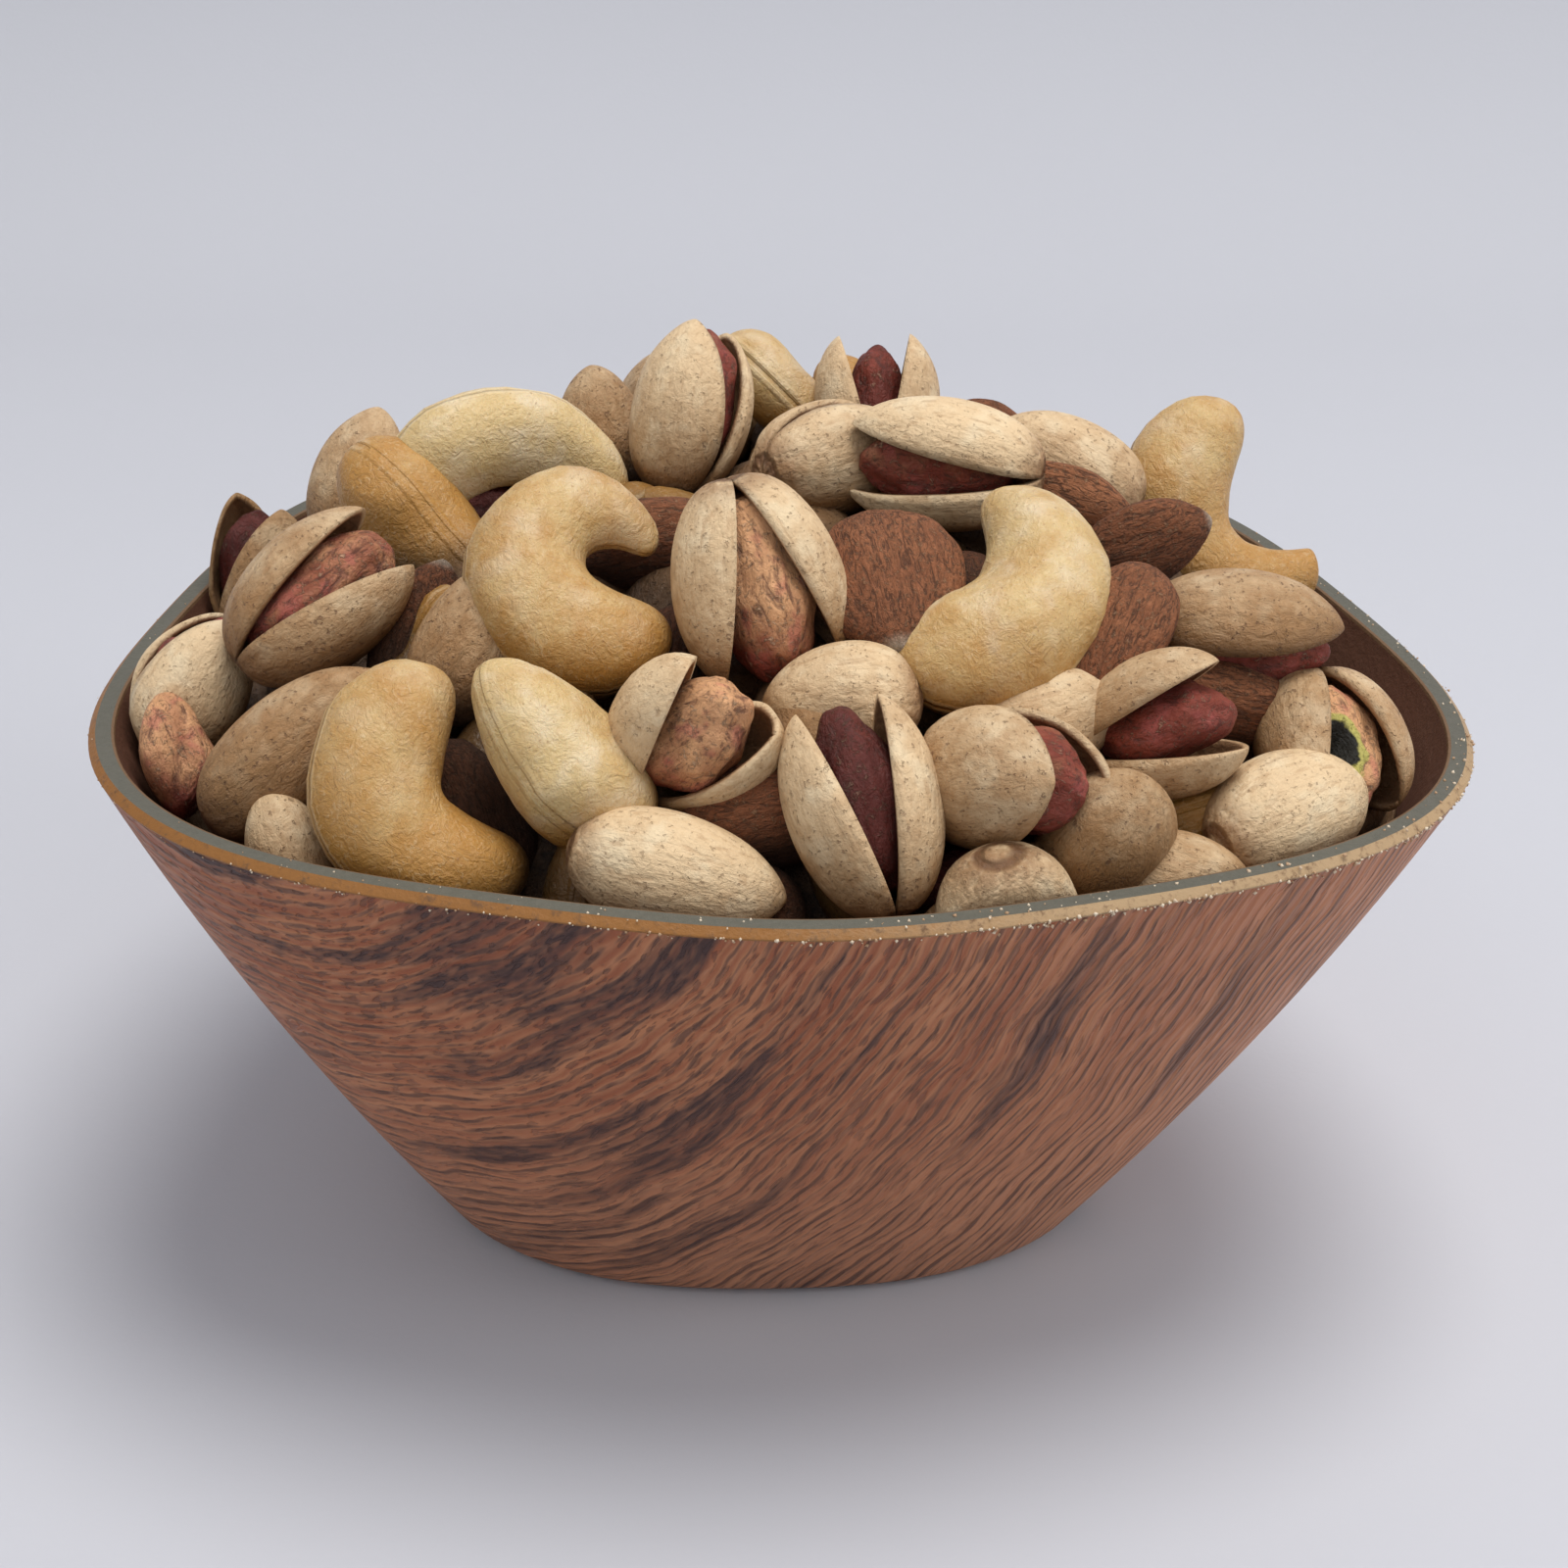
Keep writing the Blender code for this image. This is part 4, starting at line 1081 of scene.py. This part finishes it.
def wood_material(settings):
    """Printed and embossed wood grain outside and inside, resin edge and ground rim."""
    material, shader, start = new_material("wood_print")
    own = attribute(start, "own")
    layer = parts_of(attribute(start, "facts"))[0]
    x, y, z = parts_of(own)
    sweep = grain_noise(own, 0.018, 2.0) - 0.5
    east = x + 58.0
    rise = (148.0 - z) * 0.57
    depth = (y + 60.0) * 0.45
    rings = (east * east + rise * rise + depth * depth) ** 0.5 + sweep * 9.0
    run = start.sum_of("ARCTAN2", rise, east) * 90.0
    wander = grain_noise(own, 0.09, 2.0) - 0.5
    across = rings + wander * 1.6
    broad = grain_noise(joined(start, across * 0.16, run * 0.016, y * 0.003), 1.0, 2.0, 0.5)
    medium = grain_noise(joined(start, across * 0.50, run * 0.045, y * 0.01), 1.0, 3.0, 0.6)
    fine = grain_noise(joined(start, across * 1.5, run * 0.18, y * 0.05), 1.0, 2.0, 0.55)
    pores = grain_noise(joined(start, across * 2.4, run * 0.46, y * 0.1), 1.0, 1.0, 0.5)
    ridge = start.sum_of("SINE", (across + medium * 1.2) * 5.4, 0.0) * 0.5 + 0.5
    colour = mix(clamp(medium * 0.5 + fine * 0.35 + ridge * 0.15, 0.36, 0.62),
                 settings.wood, settings.fibre)
    streaks = clamp(broad * 0.66 + medium * 0.34, 0.52, 0.62)
    feather = clamp(fine * 0.5 + pores * 0.5, 0.30, 0.60)
    colour = mix(streaks * (0.55 + feather * 0.45), colour, settings.streak)
    veins = clamp(fine * 0.7 + ridge * 0.3, 0.52, 0.70)
    colour = mix(clamp(pores, 0.57, 0.66) * 0.45, colour, (0.060, 0.028, 0.026))
    glint = clamp(pores, 0.42, 0.34) * clamp(ridge, 0.3, 0.9) * (1.0 - streaks)
    colour = mix(glint * 0.35, colour, (0.42, 0.20, 0.11))
    # Painted light: the wall turns paler towards its foot, as lit from the floor, and towards
    # its lit right side
    painted_light = clamp(z, 52.0, 4.0) * 0.60 + clamp(x, 0.0, 60.0) * 0.44
    colour = mix(painted_light * (1.0 - streaks * 0.6), colour, (0.56, 0.255, 0.140))
    colour = mix(veins * 0.72, colour, settings.streak)
    inner = clamp(layer, 3.4, 3.6)
    colour = mix(inner * 0.55, colour, (0.075, 0.035, 0.022))
    edge_noise = grain_noise(own, 0.9, 4.0, 0.7)
    east_side = clamp(x + edge_noise * 30.0, 5.0, 45.0)
    resin = mix(east_side, settings.edge, (0.42, 0.28, 0.15))
    resin = mix(clamp(edge_noise, 0.5, 0.75), resin, (0.14, 0.07, 0.03))
    colour = mix(clamp(layer + (edge_noise - 0.5) * 0.9, 0.45, 0.62), colour, resin)
    ground = mix(grain_noise(own, 1.2, 5.0, 0.7), settings.rim, (0.135, 0.125, 0.10))
    colour = mix(clamp(layer, 1.45, 1.55), colour, ground)
    colour = mix(clamp(layer, 2.45, 2.55) * (1.0 - inner), colour, (0.16, 0.09, 0.045))
    colour = mix(inner, colour, mix(streaks, (0.115, 0.05, 0.03), (0.045, 0.02, 0.015)))
    height = fine * 0.7 + ridge * 0.55 - clamp(pores, 0.55, 0.66) * 0.5 + medium * 0.3
    height = height * (1.0 - clamp(layer, 0.8, 1.0)) + edge_noise * clamp(layer, 0.8, 1.0) * 0.5
    rough = settings.roughness + fine * 0.14 + clamp(layer, 1.4, 1.6) * 0.12
    shader.inputs["Specular IOR Level"].default_value = 0.30
    finish_material(start, shader, colour, rough, height, 0.75, 0.5)
    return material


def floor_material(settings):
    """Pale sheet with a faint tooth, and painted shade towards the back."""
    material, shader, start = new_material("floor_sheet")
    place = start.node("ShaderNodeTexCoord", {}, {}, "Object")
    tooth = grain_noise(place, 900.0, 3.0)
    colour = mix(grain_noise(place, 6.0, 2.0), settings.floor,
                 tuple(c * 0.94 for c in settings.floor))
    # Painted shade: the sheet is darker towards the back
    far = clamp(parts_of(place)[1], 0.0, 0.40)
    colour = mix(far * 0.35, colour, (0.34, 0.345, 0.375))
    finish_material(start, shader, colour, 0.85 + tooth * 0.05, tooth, 0.15, 0.2)
    return material


# The stage


def make_stage(settings):
    """Pale sheet that turns up behind, soft light and the camera."""
    rows = [(-1.2, 0.0), (0.30, 0.0)]
    for step in range(1, 13):
        turn = math.radians(90.0) * step / 12
        rows.append((0.30 + 0.12 * math.sin(turn), 0.12 * (1 - math.cos(turn))))
    rows.append((0.42, 1.5))
    mesh = bpy.data.meshes.new("floor")
    points = [(x, y, z) for y, z in rows for x in (-2.0, 2.0)]
    mesh.from_pydata(points, [], [(2 * i, 2 * i + 1, 2 * i + 3, 2 * i + 2)
                                  for i in range(len(rows) - 1)])
    mesh.shade_smooth()
    floor = bpy.data.objects.new("floor", mesh)
    bpy.context.scene.collection.objects.link(floor)
    mesh.materials.append(floor_material(settings))
    world = bpy.data.worlds.new("daylight")
    world.use_nodes = True
    world.node_tree.nodes["Background"].inputs["Color"].default_value = (0.90, 0.94, 1.0, 1.0)
    world.node_tree.nodes["Background"].inputs["Strength"].default_value = settings.daylight
    bpy.context.scene.world = world
    bpy.context.scene.view_settings.view_transform = "Standard"
    for name, place, size, share in (("window", (0.20, -0.02, 1.60), 0.9, 1.45),
                                     ("side", (0.95, -0.30, 0.55), 0.5, 0.19),
                                     ("fill", (-0.7, -0.7, 0.8), 1.0, 0.10)):
        light = bpy.data.lights.new(name, "AREA")
        light.shape = "DISK"
        light.size = size
        light.energy = settings.window * share
        light.color = (1.0, 0.98, 0.95)
        lamp = bpy.data.objects.new(name, light)
        bpy.context.scene.collection.objects.link(lamp)
        lamp.location = place
        lamp.rotation_euler = (Vector((0, 0, 0.05)) - Vector(place)).to_track_quat(
            "-Z", "Y").to_euler()
    lens = bpy.data.cameras.new("view")
    lens.sensor_width = 36.0
    lens.lens = VIEW_LENS / VIEW_SIZE * lens.sensor_width
    lens.clip_start = 0.01
    camera = bpy.data.objects.new("view", lens)
    bpy.context.scene.collection.objects.link(camera)
    axes = Matrix((RIGHT, UP, -FORWARD)).transposed()
    camera.matrix_world = Matrix.Translation(EYE * MM) @ axes.to_4x4()
    bpy.context.scene.camera = camera


# Operators


class NUTS_OT_bowl(bpy.types.Operator):
    """Build the wood-print bowl"""

    bl_idname = "nuts.bowl"
    bl_label = "Bowl"

    def execute(self, context):
        make_bowl(context.scene.nuts_bowl)
        return {"FINISHED"}


class NUTS_OT_core(bpy.types.Operator):
    """Build the mass under the nuts, dark with painted shade"""

    bl_idname = "nuts.core"
    bl_label = "Heap core"

    def execute(self, context):
        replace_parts(make_core(), "nut_heap")
        return {"FINISHED"}


class NUTS_OT_cashews(bpy.types.Operator):
    """Build every cashew of the heap"""

    bl_idname = "nuts.cashews"
    bl_label = "Cashews"

    def execute(self, context):
        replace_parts(make_cashews(context.scene.nuts_nuts), "nut_heap")
        return {"FINISHED"}


class NUTS_OT_pistachios(bpy.types.Operator):
    """Build every pistachio shell of the heap and the kernels in them"""

    bl_idname = "nuts.pistachios"
    bl_label = "Pistachios"

    def execute(self, context):
        for item in make_pistachios(context.scene.nuts_nuts):
            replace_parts(item, "nut_heap")
        return {"FINISHED"}


class NUTS_OT_almonds(bpy.types.Operator):
    """Build every almond of the heap"""

    bl_idname = "nuts.almonds"
    bl_label = "Almonds"

    def execute(self, context):
        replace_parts(make_almonds(context.scene.nuts_nuts), "nut_heap")
        return {"FINISHED"}


class NUTS_OT_salt(bpy.types.Operator):
    """Strew salt along the rim"""

    bl_idname = "nuts.salt"
    bl_label = "Salt"

    def execute(self, context):
        make_salt()
        return {"FINISHED"}


class NUTS_OT_stage(bpy.types.Operator):
    """Lay out the floor, the light and the camera"""

    bl_idname = "nuts.stage"
    bl_label = "Stage"

    def execute(self, context):
        make_stage(context.scene.nuts_stage)
        return {"FINISHED"}


STEPS = (NUTS_OT_bowl, NUTS_OT_core, NUTS_OT_cashews, NUTS_OT_pistachios, NUTS_OT_almonds,
         NUTS_OT_salt, NUTS_OT_stage)


class NUTS_PT_panel(bpy.types.Panel):
    """Sizes, colours and steps of the bowl of nuts"""

    bl_idname = "NUTS_PT_panel"
    bl_label = "Bowl of Mixed Nuts"
    bl_space_type = "VIEW_3D"
    bl_region_type = "UI"
    bl_category = "Nuts"

    def draw(self, context):
        for name in SETTINGS:
            group = getattr(context.scene, name)
            box = self.layout.box()
            for label in group.bl_rna.properties.keys():
                if label not in ("name", "rna_type"):
                    box.prop(group, label)
        for step in STEPS:
            self.layout.operator(step.bl_idname)


SETTINGS = {"nuts_bowl": BowlSettings, "nuts_nuts": NutSettings, "nuts_stage": StageSettings}


def register():
    """Register the classes and hang the settings on the scene."""
    for item in (*SETTINGS.values(), *STEPS, NUTS_PT_panel):
        bpy.utils.register_class(item)
    for name, group in SETTINGS.items():
        setattr(bpy.types.Scene, name, bpy.props.PointerProperty(type=group))


def unregister():
    """Take the settings and the classes away again."""
    for name in SETTINGS:
        delattr(bpy.types.Scene, name)
    for item in reversed((*SETTINGS.values(), *STEPS, NUTS_PT_panel)):
        bpy.utils.unregister_class(item)


def main():
    """Build every piece."""
    register()
    bpy.ops.nuts.bowl()
    bpy.ops.nuts.core()
    bpy.ops.nuts.cashews()
    bpy.ops.nuts.pistachios()
    bpy.ops.nuts.almonds()
    bpy.ops.nuts.salt()
    bpy.ops.nuts.stage()


if __name__ == "__main__":
    main()
